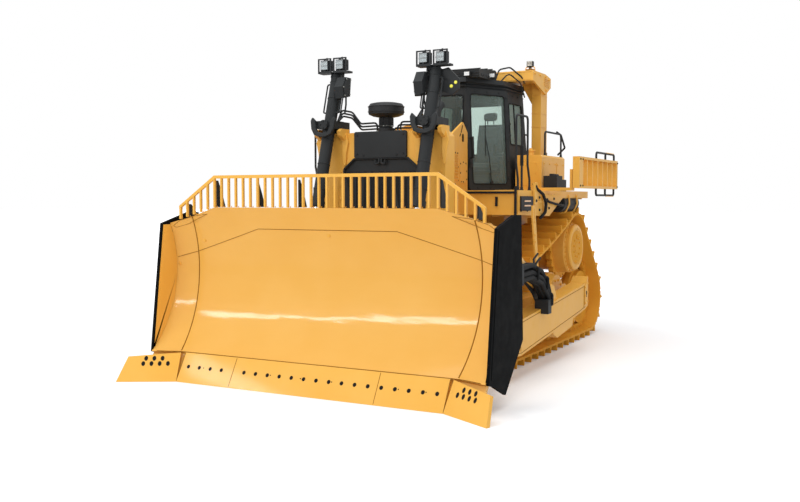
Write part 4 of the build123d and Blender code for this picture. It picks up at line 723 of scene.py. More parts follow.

# %% [markdown]
# The end plates are matt black, and their darker colour is painted shade. A thin trim runs down the
# front of each. Where a wing meets its end plate a narrow yellow liner covers the plate's inner
# face, cut to the curve of the blade.
# %% End plates
LINER_X = 2.5695
for side, sign in SIDES:
    bm = bmesh.new()
    plate(bm, at_x(sign * 2.6095, ((-3.40, 2.17), (-3.62, 0.42), (-3.59, 0.42), (-3.37, 2.17))),
        (sign * 0.006, 0, 0))
    finish_piece(f"{side}_end_plate_trim", bm, "blade", matt_black_painted_shade, soften=0.002)
    bm = bmesh.new()
    face_edge = [on_face(sign * 2.566, 0.40 + k * 0.178, 0.003) for k in range(11)]
    outline = [(-3.428, 2.18), (-3.655, 0.40), *[(spot.y, spot.z) for spot in face_edge]]
    plate(bm, at_x(sign * LINER_X, outline), (-sign * 0.004, 0, 0))
    finish_piece(f"{side}_wing_liner", bm, "blade", yellow_enamel, soften=0.0015)

# %% [markdown]
# A push arm is a welded box. Its seams show as fine dark lines, and bolted covers close its ends.
# The arm's outer face is flat, so the seams are laid on it as thin beads, whose dark amber is painted
# shade along the seam.
# %% Push arms
ARM_FACE = 2.195
for side, sign in SIDES:
    face = sign * (ARM_FACE + 0.001)
    body = "push_arms"
    bm = bmesh.new()
    seams = (
        [(-2.60, 0.765), (-1.60, 0.815), (1.30, 1.065), (1.55, 1.09)],
        [(-2.60, 0.455), (-1.50, 0.400), (1.30, 0.700), (1.55, 0.735)],
        [(1.47, 0.725), (1.47, 1.08)],
        [(-1.52, 0.42), (-1.58, 0.81)],
    )
    for line in seams:
        tube(bm, at_x(face, line), 0.0045, bend=0.02, sides=6)
    finish_piece(f"{side}_arm_seams", bm, body, weld_shade_line)
    bm = bmesh.new()
    plate(bm, at_x(face, ((1.50, 0.76), (1.665, 0.79), (1.665, 1.165), (1.50, 1.09))), (sign * 0.012, 0, 0))
    boss = ((-2.95, 0.56), (-2.85, 0.50), (-2.75, 0.56), (-2.75, 0.66), (-2.85, 0.72), (-2.95, 0.66))
    plate(bm, at_x(face, boss), (sign * 0.03, 0, 0))
    finish_piece(f"{side}_arm_covers", bm, body, yellow_enamel, soften=0.004)
    # The slot is a near-black plate, painted shade for the opening in the arm.
    bm = bmesh.new()
    plate(bm, at_x(face, ((1.545, 0.90), (1.595, 0.905), (1.595, 1.0), (1.545, 0.995))),
        (sign * 0.0145, 0, 0))
    finish_piece(f"{side}_arm_slot", bm, body, near_black_and_hole_shade)
    drawn = ((1.52, 0.80), (1.645, 0.82), (1.52, 1.06), (1.645, 1.12), (1.52, 0.93), (1.645, 0.97))
    cover = face_way((sign, 0, 0), at_x(face + sign * 0.012, drawn))
    bolts(f"{side}_arm_bolts", body, yellow_enamel, cover, 0.014)
    pin = ring((sign * 2.125, 1.20, 0.80), (sign, 0, 0), 0.08, 6)
    bolts(f"{side}_trunnion_bolts", "root", track_enamel, pin, 0.016)

# %% [markdown]
# At the foot of each tilt cylinder the hoses leave their upright post and run forwards in a thick
# black bundle under a steel guard. The bundle is a handful of bent tubes side by side, with a
# clamp block and swaged fittings where each one ends.
# %% Hose bundles on the push arms
HOSE_RUN = ((-1.75, 1.60), (-1.30, 1.62), (-0.88, 1.50), (-0.62, 1.30), (-0.52, 1.14), (-0.60, 1.06))
CLAMPS = ((-1.20, 1.61), (-0.82, 1.47), (-0.53, 1.22))
HOSE_GUARD = ((-1.80, 1.68), (-1.16, 1.70), (-0.78, 1.56), (-0.50, 1.30), (-0.42, 1.06), (-0.56, 1.00),
              (-0.74, 1.16), (-1.10, 1.36), (-1.80, 1.40))
for side, sign in SIDES:
    bm = bmesh.new()
    for k in range(9):
        x = sign * (2.150 + 0.058 * (k % 3))
        low = 0.085 * (k // 3) + 0.012 * (k % 2)
        tube(bm, [(x, y, z - low) for y, z in HOSE_RUN], 0.036, bend=0.12)
    for x, z in ((2.00, 1.72), (2.04, 1.66)):
        run = flip(sign, ((x, -0.30, z), (x + 0.05, -0.62, z - 0.06), (2.18, -0.95, 1.52)))
        tube(bm, run, 0.016, bend=0.1, sides=8)
    for y, z in ((-1.16, 1.53), (-0.74, 1.36), (-0.54, 1.10)):
        strap = ((2.10, y, z + 0.05), (2.315, y, z + 0.05), (2.315, y, z - 0.12), (2.10, y, z - 0.12))
        tube(bm, flip(sign, strap), 0.02, bend=0.03, sides=8)
    finish_piece(f"{side}_arm_hoses", bm, "push_arms", black_rubber)
    bm = bmesh.new()
    block(bm, (sign * 2.06, -1.84, 1.37), (sign * 2.31, -1.72, 1.67))
    block(bm, (sign * 2.10, -0.70, 0.86), (sign * 2.31, -0.55, 1.07))
    plate(bm, at_x(sign * 2.06, HOSE_GUARD), (sign * 0.012, 0, 0))
    for y, z in CLAMPS:
        block(bm, (sign * 2.062, y - 0.05, z - 0.035), (sign * 2.215, y + 0.05, z + 0.035))
    finish_piece(f"{side}_hose_guard", bm, "push_arms", black_enamel_painted_sheen, soften=0.005)
    clamped = [(sign * 2.215, y + dy, z) for y, z in CLAMPS for dy in (-0.03, 0.03)]
    bolts(f"{side}_hose_clamp_bolts", "push_arms", black_enamel_painted_sheen, face_way((sign, 0, 0), clamped), 0.011)
    drawn = ((-0.20, 1.30), (-0.24, 1.42), (-0.26, 1.56), (-0.30, 1.9), (-0.31, 2.0))
    post = face_way((sign, 0, 0), at_x(sign * 1.959, drawn))
    bolts(f"{side}_post_bolts", "push_arms", yellow_enamel, post, 0.013)

# %% [markdown]
# Each lift cylinder hangs in a yoke: a forged U-shaped band round its front with a round pin cap.
# Steel tubes carry oil from the yoke up to the cylinder's head end, so they ride on the cylinder,
# and shorter ones lead from the hood to the yoke, which stay on the tractor.
# %% Lift cylinder yokes and tubes
LIFT_X, TRUNNION_Y, TRUNNION_Z = 0.840, -1.665, 3.660
EIGHTH_TURN = 0.785
YOKE = ((-0.19, 0.115), (-0.215, 0.06), (-0.20, -0.06), (-0.15, -0.15), (-0.06, -0.185), (0.06, -0.185),
        (0.15, -0.15), (0.20, -0.06), (0.215, 0.06), (0.19, 0.115), (0.13, 0.06), (0.125, -0.04),
        (0.09, -0.105), (0.0, -0.125), (-0.09, -0.105), (-0.125, -0.04), (-0.13, 0.06))
lift_way = Vector((0, -0.279424, -0.960168))
cap_middle = Vector((0, TRUNNION_Y, TRUNNION_Z)) - lift_way * 0.76
for side, sign in SIDES:
    x = sign * LIFT_X
    bm = bmesh.new()
    plate(bm, [(x + dx, -1.8285 + 0.06 * dz, TRUNNION_Z + dz) for dx, dz in YOKE], (0, -0.05, 0))
    finish_piece(f"{side}_yoke_band", bm, "root", black_enamel_painted_sheen, soften=0.012)
    caps = ring((x, -1.856, TRUNNION_Z), (0, -1, 0), 0.05, 4, EIGHTH_TURN)
    bolts(f"{side}_yoke_bolts", "root", black_enamel_painted_sheen, caps, 0.011)
    body = f"{side}_lift_cylinder"
    bm = bmesh.new()
    for dx, thick in ((-0.135, 0.016), (0.135, 0.012), (-0.17, 0.010)):
        top = Vector((x + sign * dx, 0, 0)) + cap_middle + lift_way * 0.10 + Vector((0, -0.02, 0))
        low = Vector((x + sign * dx, TRUNNION_Y, TRUNNION_Z)) - lift_way * 0.20 + Vector((0, -0.02, 0))
        inward = Vector((-sign * dx * 0.42, 0.0, 0))
        tube(bm, [top + inward, top, low, low + inward], thick, bend=0.04, sides=10)
    finish_piece(f"{side}_cylinder_tubes", bm, body, black_enamel_painted_sheen)
    bm = bmesh.new()
    for along in (-0.68, -0.42, 0.24, 0.62, 1.02):
        at = Vector((x, TRUNNION_Y, TRUNNION_Z)) + lift_way * along
        loop = [spot for spot, _ in ring(at, lift_way, 0.090, 32)]
        tube(bm, loop + loop[:1], 0.009, bend=0.004, sides=8)
    finish_piece(f"{side}_cylinder_bands", bm, body, black_enamel_painted_sheen, soften=0.003)
    at = Vector((x, TRUNNION_Y, TRUNNION_Z)) + lift_way * 1.28
    bolts(f"{side}_gland_bolts", body, black_enamel_painted_sheen, ring(at, lift_way, 0.084, 10), 0.009)

# %% [markdown]
# Two work lamps stand on each cylinder's head. Each has a ribbed back, a bracket between two round
# pivots, two lit bars and a clear lens over them.
# %% Lift cylinder lamps
for side, sign in SIDES:
    x, body = sign * LIFT_X, f"{side}_lift_cylinder"
    face_y = cap_middle.y - 0.151
    bm, glow, clear = bmesh.new(), bmesh.new(), bmesh.new()
    for lamp in (x - 0.135, x + 0.135):
        for z in (4.538, 4.600):
            block(glow, (lamp - 0.052, face_y - 0.004, z - 0.020), (lamp + 0.052, face_y, z + 0.020))
        block(clear, (lamp - 0.062, face_y - 0.012, 4.510), (lamp + 0.062, face_y - 0.008, 4.640))
        for k in range(5):
            fin = lamp - 0.06 + k * 0.03
            block(bm, (fin - 0.005, cap_middle.y - 0.022, 4.51), (fin + 0.005, cap_middle.y + 0.012, 4.64))
        rod(bm, (lamp, cap_middle.y - 0.07, 4.66), (lamp, cap_middle.y - 0.07, 4.70), 0.012, 12)
        for dx in (-0.075, 0.075):
            rod(bm, (lamp + dx, cap_middle.y - 0.08, 4.575),
                (lamp + dx * 1.35, cap_middle.y - 0.08, 4.575), 0.018, 12)
    finish_piece(f"{side}_lamp_bodies", bm, body, black_plastic, soften=0.002)
    finish_piece(f"{side}_lamp_leds", glow, body, led_cover)
    finish_piece(f"{side}_lamp_lenses", clear, body, lens_glass)

# %% [markdown]
# A valve box stands beside each cylinder with a bolted lid and a bent tube below it. The left one
# also carries a bracket with two small yellow marker lamps, and two port elbows.
# %% Valve boxes
for side, sign in SIDES:
    body = f"{side}_lift_cylinder"
    inner = sign * LIFT_X - sign * (0.092 + 0.012 + 0.142)
    bm = bmesh.new()
    drawn = ((0.19, 4.10), (0.225, 4.225), (0.14, 4.35), (0.015, 4.35), (0.04, 4.13))
    lid = [(cap_middle.y - dy, z) for dy, z in drawn]
    plate(bm, at_x(inner, lid), (-sign * 0.008, 0, 0))
    drawn = ((0.07, 0.03, 4.11), (0.07, 0.03, 3.98), (0.10, 0.02, 3.84))
    tube(bm, [(inner + sign * dx, cap_middle.y - dy, z) for dx, dy, z in drawn], 0.014, bend=0.05)
    if sign > 0:
        bracket = ((0.93, 4.42), (1.03, 4.44), (1.20, 4.27), (1.20, 4.13), (1.10, 4.04), (0.93, 4.10))
        plate(bm, at_y(-1.44, bracket), (0, 0.035, 0))
        rod(bm, (0.50, -1.45, 4.07), (0.60, -1.45, 4.07), 0.022, 16)
        tube(bm, at_y(-1.45, ((0.60, 4.07), (0.70, 4.07), (0.70, 4.30))), 0.016, bend=0.05)
        markers, elbows = bmesh.new(), bmesh.new()
        for mx, mz in ((1.078, 4.168), (1.147, 4.218)):
            rod(markers, (mx, -1.440, mz), (mx, -1.452, mz), 0.026, 20, tip=0.020)
        for ex, ez in ((0.568, 4.273), (0.533, 4.192)):
            rod(elbows, (ex - 0.045, -1.45, ez), (ex + 0.05, -1.45, ez), 0.034, 20)
            rod(elbows, (ex + 0.05, -1.45, ez), (ex + 0.12, -1.45, ez), 0.022, 6)
        finish_piece("marker_lamps", markers, body, marker_lens, soften=0.003)
        finish_piece("port_elbows", elbows, body, yellow_enamel, soften=0.008)
    finish_piece(f"{side}_valve_lid", bm, body, black_enamel_painted_sheen, soften=0.004)
    lid_bolts = face_way((-sign, 0, 0), at_x(inner - sign * 0.008, lid))
    bolts(f"{side}_valve_bolts", body, zinc_steel, lid_bolts, 0.009)

# %% [markdown]
# Oil reaches the yokes through a fan of tubes that climb from the engine bay behind the nose plate
# and bend outwards, three to each side, with a hexagon fitting at each end.
# %% Hood tubes
bm, nuts = bmesh.new(), []
for side, sign in SIDES:
    for k in range(3):
        rise = 0.045 * k
        start = (sign * (0.10 + 0.05 * k), -1.335, 3.545)
        bends = (
            (0.46, -1.36 - 0.012 * k, 3.60 + rise), (0.60, -1.40, 3.78 + rise),
            (0.665 + 0.012 * k, -1.56, 3.80 + rise), (0.675 + 0.012 * k, -1.66, 3.725))
        points = [start, (start[0], -1.335, 3.61 + rise), *flip(sign, bends)]
        tube(bm, points, 0.014, bend=0.06, sides=10)
        nuts.append((Vector(start) + Vector((0, 0, 0.002)), (0, 0, 1)))
finish_piece("hood_tubes", bm, "root", black_enamel_painted_sheen)
bolts("hood_tube_nuts", "root", zinc_steel, nuts, 0.02, height=0.03)

# %% [markdown]
# The air intake has a moulded cap with a turned-in brim, ribs round its screen and a band clamp.
# %% Precleaner
INTAKE_Y = -1.42
bm = bmesh.new()
for k in range(28):
    a = 2 * math.pi * k / 28
    x, y = 0.105 * math.cos(a), INTAKE_Y + 0.105 * math.sin(a)
    rod(bm, (x, y, 3.63), (x, y, 3.755), 0.006, 6)
for z in (3.845, 3.92):
    tube(bm, circle(0, INTAKE_Y, z, 0.271, 40), 0.006, bend=0.01, sides=6)
finish_piece("precleaner_ribs", bm, "root", black_plastic)
bm = bmesh.new()
tube(bm, circle(0, INTAKE_Y, 3.635, 0.098, 32), 0.007, bend=0.01, sides=6)
rod(bm, (0.105, -1.45, 3.635), (0.105, -1.39, 3.635), 0.008, 10)
finish_piece("precleaner_clamp", bm, "root", zinc_steel)

# %% [markdown]
# The radiator guard is a thick frame with forged horns either side of each yoke, a black bolted
# nose plate, and below it a trapezium of black bar with two hooks that carries the hinged screen.
# %% Radiator guard
FRONT_Y = -1.583
HORN = ((0.0, 3.40), (0.0, 3.22), (0.02, 3.05), (0.062, 3.05), (0.075, 3.25), (0.11, 3.40), (0.06, 3.54),
        (0.0, 3.58))
bm = bmesh.new()
for side, sign in SIDES:
    for start, lean in ((0.600 + 0.06, -1), (1.010, 1)):
        plate(bm, [(sign * (start + lean * dx), FRONT_Y, z) for dx, z in HORN], (0, -0.03, 0))
finish_piece("guard_horns", bm, "root", yellow_enamel, soften=0.008)
bm = bmesh.new()
for sign in (1, -1):
    half = at_y(FRONT_Y - 0.012, ((0, 3.148), (0.455, 3.148), (0.632, 2.998), (0.632, 1.68), (0, 1.66)))
    tube(bm, flip(sign, half), 0.016, bend=0.03, sides=8)
    hook = ((0.02, 0.02, 3.15), (0.02, 0.03, 3.08), (0.075, 0.03, 3.06), (0.085, 0.03, 3.13))
    tube(bm, [(sign * x, FRONT_Y - dy, z) for x, dy, z in hook], 0.016, bend=0.03, sides=10)
finish_piece("screen_frame", bm, "root", black_enamel_painted_sheen)
nose = ((-0.28, 3.20), (0.28, 3.20), (-0.39, 3.50), (0.39, 3.50), (-0.39, 3.22), (0.39, 3.22))
bolts("nose_plate_bolts", "root", black_enamel_painted_sheen, face_way((0, -1, 0), at_y(-1.62, nose)), 0.014)
places = [
    ((sign * x, -1.58, 1.75 + 0.2 * k), (0, -1, 0))
    for x, count in ((0.98, 8), (0.70, 7)) for sign in (1, -1) for k in range(count)]
bolts("guard_bolts", "root", yellow_enamel, places, 0.018)
bm = bmesh.new()
for sign in (1, -1):
    corners = at_y(FRONT_Y, ((0.74, 1.72), (0.94, 1.72), (0.94, 2.92), (0.74, 2.92)))
    plate(bm, flip(sign, corners), (0, -0.008, 0))
finish_piece("guard_side_plates", bm, "root", yellow_enamel, soften=0.004)

# %% [markdown]
# The radiator shows through a perforated screen. Geometry Nodes cut it: a grid of points carries
# short hexagonal sleeves, which is how punched mesh looks from the front and costs few faces.
# %% Radiator screen
def sleeve_tree():
    tree, given = new_tree("punched_screen", [("Places", "Geometry"), ("Hole radius", "Float"),
        ("Depth", "Float"), ("Finish", "Material")], "Screen")
    sleeve = add(tree, "GeometryNodeMeshCylinder", {
        "Vertices": 6, "Radius": given["Hole radius"], "Depth": given["Depth"]}, fill_type="NONE")
    stood = add(tree, "GeometryNodeTransform", {
        "Geometry": sleeve.outputs["Mesh"], "Rotation": (math.pi / 2, 0, 0)})
    copies = add(tree, "GeometryNodeInstanceOnPoints", {
        "Points": given["Places"], "Instance": stood.outputs["Geometry"]})
    return hand_out(tree, copies, given["Finish"], "Screen")


holes = [
    (((strip - 4) * 0.13 - 0.026 + c * 0.026 + (r % 2) * 0.007, -1.572, 1.78 + r * 0.031), (0, -1, 0))
    for strip in range(9) for r in range(38) for c in range(3)]
screen = make_real(holes, "facing", sleeve_tree(), {
    "Hole radius": 0.0125, "Depth": 0.006, "Finish": black_enamel_painted_sheen})
finish_piece("radiator_screen", screen, "root", None)

# %% [markdown]
# The hood is folded sheet. Its side panels have a raised wing at the back, a bolted vent panel, a
# flush latch and a row of louvres. The side's plane leans in with the hood, so a small frame of
# reference turns flat drawings into places on it.
# %% Hood panels
HOOD_FRONT_Y, HOOD_END_Y = -1.2597, 0.690
hood_taper = (0.860 - 0.400) / (HOOD_END_Y - HOOD_FRONT_Y)


def on_hood(sign, back, z, proud=0.0):
    """A point on a hood side: distance back from its front, height, and how proud of the sheet."""
    rear = Vector((-sign * hood_taper, 1, 0)).normalized()
    out = Vector((sign, hood_taper, 0)).normalized()
    return Vector((sign * 0.860, HOOD_FRONT_Y, z)) + rear * back + out * proud


for side, sign in SIDES:
    out = Vector((sign, hood_taper, 0)).normalized()
    bm = bmesh.new()
    panels = (
        [(0.08, 2.75), (0.62, 2.75), (0.62, 3.28), (0.08, 3.28)],
        [(0.70, 2.75), (1.18, 2.75), (1.18, 3.30), (0.70, 3.30)],
        [(1.30, 2.80), (1.90, 2.80), (1.90, 3.16), (1.30, 3.19)],
        [(0.08, 1.62), (1.90, 1.62), (1.90, 2.55), (0.08, 2.55)],
    )
    for corners in panels:
        plate(bm, [on_hood(sign, b, z, 0.001) for b, z in corners], out * 0.006)
    finish_piece(f"{side}_hood_panels", bm, "root", yellow_enamel, soften=0.003)
    bm = bmesh.new()
    for k in range(9):
        z = 2.83 + k * 0.048
        a, b = on_hood(sign, 0.76, z, 0.007), on_hood(sign, 1.12, z, 0.007)
        rise = Vector((0, 0, 0.026))
        lip = rise + out * 0.016
        plate(bm, [a, b, b + lip, a + lip], Vector((0, 0, 0.004)) - out * 0.004)
    finish_piece(f"{side}_hood_louvres", bm, "root", yellow_enamel)
    # The slots are near-black bars on the sheet, painted shade for the openings; the two discs are the
    # latch.
    bm = bmesh.new()
    for b0, z0, b1, z1 in ((1.40, 3.62, 1.53, 3.74), (1.30, 3.555, 1.36, 3.595)):
        low, high = on_hood(sign, b0, z0, 0.001), on_hood(sign, b1, z1, 0.001)
        rod(bm, low, high, 0.010, 8)
    for b, z in ((1.545, 3.52), (1.545, 3.56)):
        rod(bm, on_hood(sign, b, z, 0), on_hood(sign, b, z, 0.014), 0.045, 20)
    finish_piece(f"{side}_hood_slots", bm, "root", near_black_and_hole_shade)
    places = []
    for corners in panels:
        middle = (sum(c[0] for c in corners) / 4, sum(c[1] for c in corners) / 4)
        for (b0, z0), (b1, z1) in zip(corners, corners[1:] + corners[:1]):
            for share in (0.12, 0.5):
                b, z = b0 + (b1 - b0) * share, z0 + (z1 - z0) * share
                b += 0.028 * (1 if middle[0] > b else -1)
                z += 0.028 * (1 if middle[1] > z else -1)
                places.append((on_hood(sign, b, z, 0.007), out))
    bolts(f"{side}_hood_bolts", "root", black_enamel_painted_sheen, places, 0.011)
    bm = bmesh.new()
    for z0, z1 in ((1.72, 1.80), (2.36, 2.44)):
        a = on_hood(sign, 0.06, z0, 0.012)
        rod(bm, a, a + Vector((0, 0, z1 - z0)), 0.012, 12)
    pull = ((2.30, 0.004), (2.30, 0.05), (2.12, 0.05), (2.12, 0.004))
    tube(bm, [on_hood(sign, 1.70, z, proud) for z, proud in pull], 0.009, bend=0.02)
    finish_piece(f"{side}_hood_handle", bm, "root", black_enamel_painted_sheen)
bm = bmesh.new()
for y in (-0.75, -0.15, 0.4):
    half = 0.86 - hood_taper * (y - HOOD_FRONT_Y) - 0.20
    block(bm, (-half, y - 0.006, 3.560), (half, y + 0.006, 3.566))
tube(bm, at_x(0.12, ((0.02, 3.56), (0.02, 3.83), (0.10, 4.02), (0.22, 4.10))), 0.075, bend=0.12, sides=20)
finish_piece("exhaust_and_ribs", bm, "root", black_enamel_painted_sheen)

# %% [markdown]
# The cab's walls all lean in, so a flat drawing of a wall is turned into places by its foot, the
# way it runs and the way it faces. Seals, hinges, handles and trim are drawn on the wall that way.
# %% Cab walls
CAB_FLOOR, CAB_TOP, CAB_LEAN_IN = 2.6803, 4.520, 0.110
cab_lean = math.atan2(CAB_LEAN_IN, CAB_TOP - CAB_FLOOR)
SEAM, CORNER, CAB_BACK = (0.360, 0.770), (0.785, 1.630), 2.650
door_run = Vector((CORNER[0] - SEAM[0], CORNER[1] - SEAM[1], 0))
door_long = door_run.length


def wall_frame(sign, wall):
    """A wall's foot, the way along it rearwards or leftwards, the way up it and the way out."""
    ways = {
        "door": (
            (sign * SEAM[0], SEAM[1]),
            (sign * door_run.x, door_run.y, 0), (sign * door_run.y, -door_run.x, 0)),
        "side": ((sign * CORNER[0], CORNER[1]), (0, 1, 0), (sign, 0, 0)),
        "front": ((0, SEAM[1]), (1, 0, 0), (0, -1, 0)),
        "rear": ((0, CAB_BACK), (1, 0, 0), (0, 1, 0)),
    }
    start, along, flat = ways[wall]
    foot, along, flat = Vector((*start, CAB_FLOOR)), Vector(along).normalized(), Vector(flat).normalized()
    out = flat * math.cos(cab_lean) + Vector((0, 0, math.sin(cab_lean)))
    up = Vector((0, 0, math.cos(cab_lean))) - flat * math.sin(cab_lean)
    return foot, along, up, out


def on_wall(sign, wall, s, h, proud=0.0):
    """A point on a wall: distance along it, distance up it, and how proud of it."""
    foot, along, up, out = wall_frame(sign, wall)
    return foot + along * s + up * h + out * proud


def wall_bolts(sign, wall, along, up, proud=0.0):
    """Bolts' places on a wall, at each of these distances along it and up it."""
    out = wall_frame(sign, wall)[3]
    return [(on_wall(sign, wall, s, h, proud), out) for s in along for h in up]


def window_seal(bm, sign, wall, left, right, low, high, proud, radius):
    """A rubber bead round a window."""
    middle = (left + right) / 2
    corners = [(middle, low), (right, low), (right, high), (left, high), (left, low), (middle - 0.001, low)]
    tube(bm, [on_wall(sign, wall, s, h, proud) for s, h in corners], radius, bend=0.07, sides=8)


bm = bmesh.new()
window_seal(bm, 1, "front", -0.24, 0.24, 0.56, 1.64, 0.001, 0.012)
window_seal(bm, 1, "rear", -0.56, 0.56, 0.70, 1.60, 0.001, 0.012)
for side, sign in SIDES:
    window_seal(bm, sign, "side", 0.17, 0.80, 0.83, 1.56, 0.001, 0.012)
    tube(bm, [on_wall(sign, "side", 0.45, h, -0.012) for h in (0.84, 1.55)], 0.014, sides=8)
finish_piece("window_seals", bm, "root", black_rubber)

# %% [markdown]
# A door is a pressed frame with one big pane. It wears a rubber seal round the glass, a keyed
# latch under the grab handle, bolted hinge straps at the back, and a wiper. All of it rides on the
# door, so it swings with it.
# %% Doors
DOOR_SKIN = 0.051


def on_door(s, h, proud=0.0):
    return on_wall(sign, "door", s, h, DOOR_SKIN + proud)


for side, sign in SIDES:
    body, out = f"{side}_door", wall_frame(sign, "door")[3]
    bm = bmesh.new()
    window_seal(bm, sign, "door", 0.095, door_long - 0.089, 0.12, 1.65, DOOR_SKIN, 0.011)
    finish_piece(f"{side}_door_seal", bm, body, black_rubber)
    bm = bmesh.new()
    latch = ((0.025, 0.40), (0.085, 0.40), (0.085, 0.54), (0.025, 0.54))
    plate(bm, [on_door(s, h) for s, h in latch], out * 0.02)
    rod(bm, on_door(0.055, 0.47, 0.02), on_door(0.055, 0.47, 0.035), 0.018, 16)
    base, tip = on_door(0.50, 0.16, 0.004), on_door(0.42, 0.92, -0.012)
    tube(bm, [base, base.lerp(tip, 0.5) + out * 0.03, tip], 0.009, bend=0.3, sides=8)
    rod(bm, on_door(0.41, 0.60, -0.016), on_door(0.43, 1.22, -0.016), 0.008, 8)
    rod(bm, on_door(0.50, 0.15, -0.002), on_door(0.50, 0.15, 0.03), 0.028, 16)
    finish_piece(f"{side}_door_fittings", bm, body, black_plastic, soften=0.003)
    hinges = (0.22, 0.52, 0.90, 1.14, 1.40, 1.62)
    places = wall_bolts(sign, "door", (door_long - 0.045,), hinges, DOOR_SKIN)
    for h in (0.055, 1.70):
        places += wall_bolts(sign, "door", (0.2, 0.48, 0.75), (h,), DOOR_SKIN)
    bolts(f"{side}_door_bolts", body, black_enamel_painted_sheen, places, 0.013, seed=3)
    bm = bmesh.new()
    for h in (0.36, 0.98, 1.18):
        low, high = (on_wall(sign, "door", door_long + 0.055, h, proud) for proud in (-0.003, 0.012))
        rod(bm, low, high, 0.026, 20)
    finish_piece(f"{side}_pillar_caps", bm, "root", black_plastic, soften=0.003)

# %% [markdown]
# Round the cab's top runs a deep header with drip rails, work lamps, bolted edges and the air
# unit's louvred box. Two bent grab tubes cross the gap from the roof to the roll-over frame.
# %% Cab roof
bm = bmesh.new()
for sign in (1, -1):
    rails = ((0.0, 0.96, 1.79, 0.004, 0.020), (0.04, 0.9, 1.835, 0.03, 0.012))
    for front, back, up, proud, radius in rails:
        turns = [on_wall(sign, "door", front, up, proud), on_wall(sign, "door", door_long, up, proud)]
        turns.append(on_wall(sign, "side", back, up, min(proud, 0.02)))
        tube(bm, turns, radius, bend=0.05, sides=8)
tube(bm, [on_wall(sign, "door", 0.0, 1.79, 0.004) for sign in (-1, 1)], 0.020, bend=0.03, sides=8)
finish_piece("drip_rails", bm, "root", black_enamel_painted_sheen)
bm = bmesh.new()
for k in range(8):
    x = -0.29 + k * 0.115
    block(bm, (x - 0.04, 0.772, 4.62), (x + 0.04, 0.785, 4.635))
    block(bm, (x - 0.04, 0.776, 4.66), (x + 0.04, 0.789, 4.675))
for y in (0.95, 1.25, 1.48):
    rise = (y - 0.78) * 0.083
    block(bm, (-0.30, y - 0.01, 4.732 + rise), (0.52, y + 0.01, 4.748 + rise))
for x in (-0.341, 0.561):
    for k in range(6):
        y = 0.92 + k * 0.1
        block(bm, (x - 0.006, y - 0.035, 4.62), (x + 0.006, y + 0.035, 4.66))
finish_piece("air_unit_louvres", bm, "root", black_plastic, soften=0.003)

# %% [markdown]
# Four work lamps stand under the roof's edge, two bent grab tubes a side lead to the roll-over
# frame, and bolts run along the tops and feet of the cab's walls.
# %% Roof lamps, grab tubes and bolts
bm, glass = bmesh.new(), bmesh.new()
for sign in (1, -1):
    for y, z in ((0.80, 4.60), (1.35, 4.62)):
        x = sign * (0.36 + (y - 0.77) * 0.42)
        block(bm, (x - 0.055, y - 0.10, z), (x + 0.055, y - 0.02, z + 0.085))
        rod(bm, (x, y - 0.05, z - 0.02), (x, y - 0.05, z), 0.012, 10)
        block(glass, (x - 0.045, y - 0.105, z + 0.012), (x + 0.045, y - 0.100, z + 0.073))
finish_piece("roof_work_lamps", bm, "root", black_plastic, soften=0.008)
finish_piece("roof_lamp_lenses", glass, "root", led_cover)
bm = bmesh.new()
upper_grab = (
    (0.56, 1.50, 4.60), (0.60, 1.58, 4.80), (0.72, 1.80, 4.86), (0.86, 2.02, 4.70), (0.88, 2.10, 4.60))
lower_grab = ((0.60, 1.66, 4.60), (0.70, 1.78, 4.76), (0.84, 2.00, 4.60), (0.86, 2.16, 4.36))
for side, sign in SIDES:
    tube(bm, flip(sign, upper_grab), 0.014, bend=0.12, sides=10)
    tube(bm, flip(sign, lower_grab), 0.012, bend=0.12, sides=10)
finish_piece("roof_grab_tubes", bm, "root", black_enamel_painted_sheen)
places = []
for h in (1.70, 0.10):
    for side, sign in SIDES:
        places += wall_bolts(sign, "side", (0.12, 0.38, 0.64, 0.9), (h,))
places += wall_bolts(1, "rear", (-0.6, -0.3, 0, 0.3, 0.6), (0.15, 1.70))
bolts("cab_bolts", "root", black_enamel_painted_sheen, places, 0.012)

# %% [markdown]
# The roll-over frame is welded box section. Weld beads ring the posts, bolts hold the feet, the
# beam's ends carry vents, and a beacon with a ribbed lens stands on its own small bracket.
# %% Roll-over frame
ROPS, BEAM_END, BEAM_FRONT = 1.035, 1.066, 2.0295
POST_FEET = ((1.075, 2.57, 2.741), (1.075, 2.70, 2.741), (1.075, 2.83, 2.741), (0.95, 2.90, 2.741))
END_BOLTS = ((2.12, 4.77), (2.4, 4.77), (2.7, 4.77), (2.9, 4.74), (2.72, 4.53))
bm = bmesh.new()
for side, sign in SIDES:
    for z in (3.86, 4.10, 4.42):
        low, high = sign * 0.86, sign * ROPS
        corners = [(low, 2.54), (high, 2.54), (high, 2.87), (low, 2.87), (low, 2.54)]
        tube(bm, [(x, y, z) for x, y in corners], 0.007, bend=0.012, sides=6)
    lead = at_x(sign * BEAM_END, ((2.04, 4.645), (2.70, 4.455), (2.98, 4.605)))
    tube(bm, lead, 0.006, bend=0.02, sides=6)
for z in (4.66, 4.80):
    tube(bm, [(-1.03, BEAM_FRONT, z), (1.03, BEAM_FRONT, z)], 0.007, sides=6)
finish_piece("rops_welds", bm, "root", yellow_enamel)
places = []
for side, sign in SIDES:
    places += face_way((0, 0, 1), flip(sign, POST_FEET))
    places += face_way((sign, 0, 0), at_x(sign * BEAM_END, END_BOLTS))
bolts("rops_bolts", "root", yellow_enamel, places, 0.020)
bm = bmesh.new()
for side, sign in SIDES:
    for k in range(5):
        z = 4.60 + k * 0.032
        block(bm, (sign * 1.064, 2.62, z), (sign * 1.078, 2.88, z + 0.012))
finish_piece("rops_vents", bm, "root", yellow_enamel, soften=0.003)
bm = bmesh.new()
block(bm, (0.87, 2.13, 4.8505), (1.02, 2.29, 4.858))
